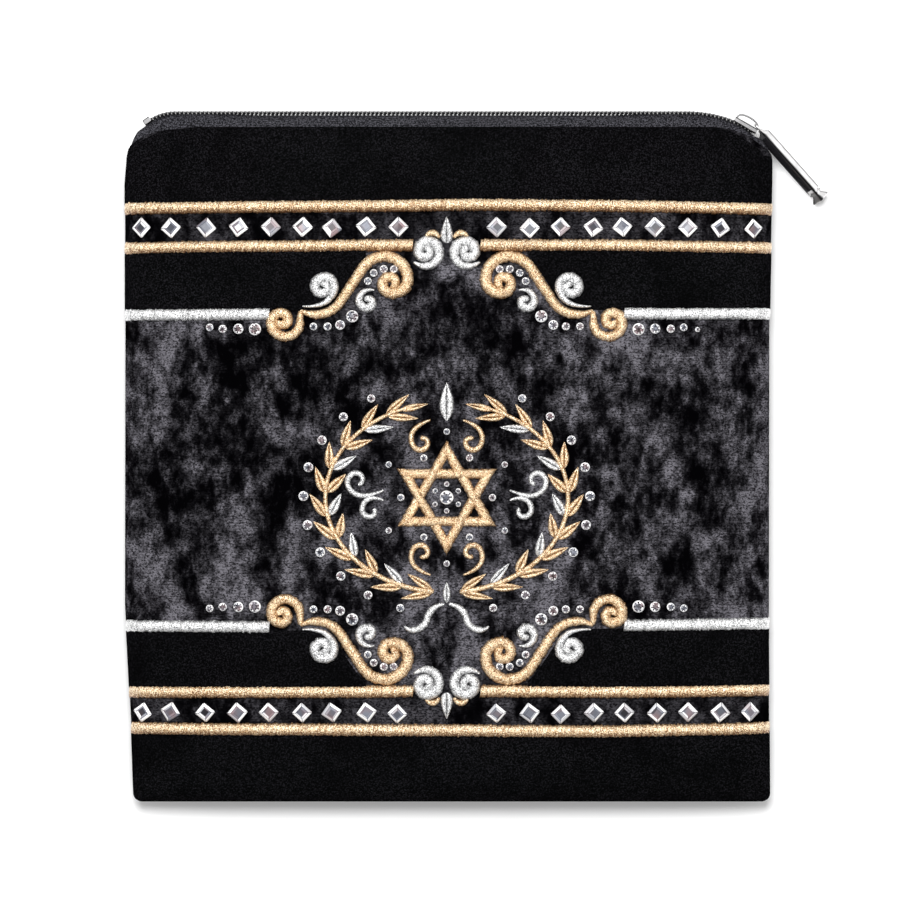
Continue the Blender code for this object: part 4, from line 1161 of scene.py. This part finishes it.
def medallion():
    """Lozenge, knot, ribbons and the small silver and gold curls round the star."""
    for name, low, high, wide, rise, seed in (
        ("lozenge", 36.0, 54.0, 3.4, 1.7, 220),
        ("knot", -49.6, -39.6, 1.9, 1.6, 224),
    ):
        base, tip = ((DESIGN_X, MEDALLION_Y + end * MM) for end in (low, high))
        cords = petal(base, tip, wide * MM, SEED + seed, rise * MM, fullest=0.5)
        stitched_piece(f"{name}_stitches", cords, SILVER, [f"wreath_{name}"])
    ribbon = arc_line((-0.9, -63.1), -166, ((1.8, None), (9.0, 62), (7.0, -84), (4.0, -50)))
    widths = np.array(((0.0, 1.6), (0.3, 3.6), (0.8, 3.4), (1.0, 1.0)))
    ribbons = [cord(mirrored(ribbon, flip_x, 1, DESIGN_Y), widths, ON_PANEL, SEED + 226 + flip_x)
               for flip_x in (1, -1)]
    stitched_piece("ribbon_stitches", ribbons, SILVER, ["ribbon_left", "ribbon_right"])
    curls = []
    for number, curl in enumerate(STAR_CURLS):
        for flip_x in (1, -1):
            path = mirrored(arc_line(*curl), flip_x, 1, MEDALLION_Y)
            curls.append(cord(path, STAR_CURL_WIDTHS, ON_PANEL, SEED + 230 + number * 2 + flip_x))
    stitched_piece("star_curls", curls, SILVER, [])
    curls = []
    for flip_x in (1, -1):
        for flip_y in (1, -1):
            path = mirrored(arc_line(*GOLD_CURL), flip_x, flip_y, MEDALLION_Y)
            curls.append(cord(path, GOLD_CURL_WIDTHS, ON_PANEL, SEED + 250 + flip_x + 2 * flip_y))
    stitched_piece("gold_curls", curls, GOLD, [])


def finials():
    """The pointed leaf at the middle of each pair of volutes, with its tip away from the medallion."""
    for level, sign in (("upper", 1), ("lower", -1)):
        y = DESIGN_Y + sign * 111.4 * MM + (0.0 if sign > 0 else LOWER_SHIFT)
        base, tip = (DESIGN_X, y - sign * 5.0 * MM), (DESIGN_X, y + sign * 7.4 * MM)
        cords = petal(base, tip, 2.9 * MM, SEED + 240 + sign, 1.8 * MM, fullest=0.42)
        stitched_piece(f"finial_{level}_stitches", cords, SILVER, [f"finial_{level}"])


# Cut stones


def place_stones(template, faces, tones, spots, turns, sizes, tilts, seed):
    """Copies of one cut stone on the face, each turned, scaled and leaned a little, with a painted tone
    for each facet, standing in for the light or dark that it reflects."""
    draw = np.random.default_rng(seed)
    spots, turns, sizes = np.asarray(spots, float), np.radians(turns), np.asarray(sizes, float)
    foot = on_face(spots[:, 0], spots[:, 1], ON_PANEL * 0.4)
    normal = on_face(spots[:, 0], spots[:, 1], 1.0) - on_face(spots[:, 0], spots[:, 1], 0.0)
    normal[:, :2] += draw.normal(0, tilts, (len(spots), 2))
    normal /= np.linalg.norm(normal, axis=-1, keepdims=True)
    way = np.stack((np.cos(turns), np.sin(turns), 0 * turns), -1)
    way -= normal * (way * normal).sum(-1, keepdims=True)
    way /= np.linalg.norm(way, axis=-1, keepdims=True)
    ways = np.stack((way, np.cross(normal, way), normal), 1)
    points = foot[:, None] + np.einsum("vk,nkc->nvc", template, ways) * sizes[:, None, None]
    shift = (np.arange(len(spots)) * len(template))[:, None, None]
    groups = [(group[None] + shift).reshape(-1, group.shape[1]) for group in faces]
    painted_facet_tones = []
    for group, tone in zip(faces, tones):
        # Painted reflections: each facet's tone, varied at random from stone to stone
        varied = tone[None] + draw.normal(0, 0.16, (len(spots), len(group)))
        painted_facet_tones.append(np.clip(varied, 0.02, 1).ravel())
    return (points.reshape(-1, 3), groups), np.concatenate(painted_facet_tones)


def square_stone():
    """A square cut stone one unit across: its girdle, a bevelled crown of two steps, and a table on which the
    back facets are painted as a smaller square moved to one side, nearly flat. Each facet's tone is painted
    light or dark for the light that it reflects."""
    def ring(half, height, shift=(0.0, 0.0), cut=0.07):
        corner = half * (1 - cut)
        spots = ((half, -corner), (half, corner), (corner, half), (-corner, half),
                 (-half, corner), (-half, -corner), (-corner, -half), (corner, -half))
        return [(u + shift[0], v + shift[1], height) for u, v in spots]

    rings = [ring(0.49, 0.0), ring(0.50, 0.10), ring(0.34, 0.21), ring(0.315, 0.212),
             ring(0.22, 0.214, (0.03, -0.03)), ring(0.20, 0.215, (0.03, -0.03))]
    points = np.array([spot for each in rings for spot in each])
    walls = grid_quads(6, 8, True)
    top = np.array([np.arange(40, 48)])
    under = np.array([np.arange(8)[::-1]])
    # Painted reflections: the tone of each crown facet, light or dark for what it would mirror
    painted_bevel_flash = np.array((0.95, 0.2, 0.85, 0.15, 0.72, 0.2, 1.0, 0.1))
    line = np.full(8, 0.06)
    step = np.array((0.45, 0.3, 0.62, 0.3, 0.35, 0.2, 0.5, 0.3))
    tones = [np.concatenate((painted_bevel_flash * 0.4, painted_bevel_flash, line, step, line + 0.1)), np.array([0.24]), np.array([0.1])]
    return points, [walls, top, under], tones


def round_stone():
    """A round cut stone one unit across: a girdle, eight kites with triangles between them, a table and the
    small star of its back facets, painted on the table. Each facet's tone is painted light or dark for the
    light that it reflects."""
    turn = np.arange(16) * TURN / 16
    rings = [np.stack((0.49 * np.cos(turn), 0.49 * np.sin(turn), 0 * turn), -1),
             np.stack((0.5 * np.cos(turn), 0.5 * np.sin(turn), 0 * turn + 0.12), -1),
             np.stack((0.41 * np.cos(turn), 0.41 * np.sin(turn), 0.25 + 0.03 * (np.arange(16) % 2)), -1),
             np.stack((0.27 * np.cos(turn), 0.27 * np.sin(turn), 0 * turn + 0.34), -1),
             np.stack((0.12 * np.cos(turn + 0.2), 0.12 * np.sin(turn + 0.2), 0 * turn + 0.342), -1)]
    points = np.concatenate(rings)
    walls = grid_quads(5, 16, True)
    top = np.array([np.arange(64, 80)])
    under = np.array([np.arange(16)[::-1]])
    # Painted reflections: the tone of each crown facet, light or dark for what it would mirror
    painted_flash = np.array((1.0, 0.3, 0.9, 0.55, 0.25, 0.95, 0.4, 0.8, 1.0, 0.2, 0.7, 0.5, 0.95, 0.3, 0.85, 0.45))
    crown = (painted_flash * 0.5, 0.72 + 0.28 * np.roll(painted_flash, 3), painted_flash * 1.1 - 0.25, 0.35 - painted_flash * 0.3)
    tones = [np.concatenate(crown), np.array([0.12]), np.array([0.1])]
    return points, [walls, top, under], tones


# Round stones of the upper left quarter, about the embroidery's centre: x, y, size
ROUND_STONES = (
    (-37.1, 88.5, 3.6), (-34.3, 92.3, 3.6), (-29.6, 94.2, 3.7), (-24.9, 94.1, 3.6),
    (-62.6, 67.2, 3.6), (-56.0, 67.2, 3.8), (-50.1, 67.9, 4.6), (-44.4, 71.9, 5.8),
    (-111.4, 66.8, 3.6), (-105.3, 66.1, 3.9), (-97.9, 66.1, 4.9), (-90.1, 65.9, 5.8),
)
SQUARE_PITCH = 15.1 * MM
SQUARE_SIZE = 7.0 * MM


def stones():
    """Rows of square stones between the gold bars, and round stones beside the scrolls, in the star and round
    the wreath."""
    draw = np.random.default_rng(SEED + 300)
    spots, turns = [], []
    for y in (113.8 * MM, -114.4 * MM):
        for side in (-1, 1):
            x = side * (23.0 * MM + np.arange(9) * SQUARE_PITCH) + draw.normal(0, 0.55 * MM, 9)
            spots.append(np.stack((DESIGN_X + x, DESIGN_Y + y + draw.normal(0, 0.3 * MM, 9)), -1))
            turns.append(45 + draw.normal(0, 8, 9) + 90 * draw.integers(0, 4, 9))
    spots, turns = np.concatenate(spots), np.concatenate(turns)
    sizes = SQUARE_SIZE * draw.uniform(0.97, 1.02, len(spots))
    shape, tone = place_stones(*square_stone(), spots, turns, sizes, 0.05, SEED + 301)
    build("square_stones", shape, GLASS, tone=tone, smooth=False)
    rounds = []
    for x, y, size in ROUND_STONES:
        for flip_x in (1, -1):
            for flip_y in (1, -1):
                middle = DESIGN_Y + (LOWER_SHIFT if flip_y < 0 else 0.0)
                rounds.append((DESIGN_X + flip_x * x * MM, middle + flip_y * y * MM, size))
    for side in (-1, 1):
        for s in np.arange(0.9, 10.4, 1.0):
            x, y = wreath_spot(s, side, 10.3 * MM)
            rounds.append((float(x), float(y), 3.5 + 1.2 * math.sin(math.pi * s / LEAVES)))
    rounds.append((117.3 * MM, 59.6 * MM, 2.4))
    rounds.append((DESIGN_X, MEDALLION_Y, 6.6))
    for k in range(6):
        way = math.radians(30 + 60 * k)
        rounds.append((DESIGN_X + 6.3 * MM * math.cos(way), MEDALLION_Y + 6.3 * MM * math.sin(way), 2.5))
        way = math.radians(60 * k)
        rounds.append((DESIGN_X + 21.5 * MM * math.cos(way), MEDALLION_Y + 21.5 * MM * math.sin(way), 3.4))
        way = math.radians(30 + 60 * k)
        rounds.append((DESIGN_X + 31.5 * MM * math.cos(way), MEDALLION_Y + 31.0 * MM * math.sin(way), 3.0))
    rounds = np.array(rounds)
    turns, sizes = draw.uniform(0, 360, len(rounds)), rounds[:, 2] * MM
    shape, tone = place_stones(*round_stone(), rounds[:, :2], turns, sizes, 0.05, SEED + 302)
    build("round_stones", shape, GLASS, tone=tone, smooth=False)


# Stage


def stage():
    """Pale floor, soft light from above the zip, and the camera straight overhead."""
    floor_finish = Finish("floor", Roughness=0.9, Specular_IOR_Level=0.1)
    clouds = floor_finish.mix(floor_finish.noise(3.0), (0.93, 0.93, 0.93), (0.95, 0.95, 0.95))
    floor_finish.set("Base Color", clouds)
    mesh = bpy.data.meshes.new("floor")
    mesh.from_pydata([(-9, -9, 0), (9, -9, 0), (9, 9, 0), (-9, 9, 0)], [], [(0, 1, 2, 3)])
    mesh.materials.append(floor_finish.material)
    floor = bpy.data.objects.new("floor", mesh)
    bpy.context.scene.collection.objects.link(floor)
    world = bpy.data.worlds.new("room")
    world.use_nodes = True
    sky = world.node_tree.nodes["Background"]
    sky.inputs["Color"].default_value = (1.0, 1.0, 1.0, 1.0)
    sky.inputs["Strength"].default_value = 0.48
    bpy.context.scene.world = world
    for name, spot, size, power in (
        ("key", (-0.12, 0.64, 1.74), 1.1, 44.0),
        ("fill", (0.5, -0.5, 1.9), 1.4, 5.0),
        ("glint", (1.3, 1.1, 0.3), 0.6, 2.0),
    ):
        lamp = bpy.data.lights.new(name, "AREA")
        lamp.shape, lamp.size, lamp.energy = "DISK", size, power
        holder = bpy.data.objects.new(name, lamp)
        bpy.context.scene.collection.objects.link(holder)
        holder.location = spot
        holder.rotation_mode = "QUATERNION"
        holder.rotation_quaternion = (-Vector(spot)).to_track_quat("-Z", "Y")
    frame_width, distance = 424.9 * MM, 5.0
    camera = bpy.data.cameras.new("camera")
    camera.sensor_width = 36.0
    camera.lens = 36.0 * (distance - SEAM_HEIGHT) / frame_width
    camera.clip_end = 60.0
    holder = bpy.data.objects.new("camera", camera)
    bpy.context.scene.collection.objects.link(holder)
    holder.location = (0.944 * MM, 2.95 * MM, distance)
    bpy.context.scene.camera = holder
    bpy.context.scene.view_settings.view_transform = "Standard"


face_sheet()
back_sheet()
bands()
tape("tape_front", "zip_tape_front", True)
tape("tape_back", "zip_tape_back", False)
coil()
puller(slider())
bars()
scrolls()
finials()
wreath()
star()
medallion()
stones()
stage()
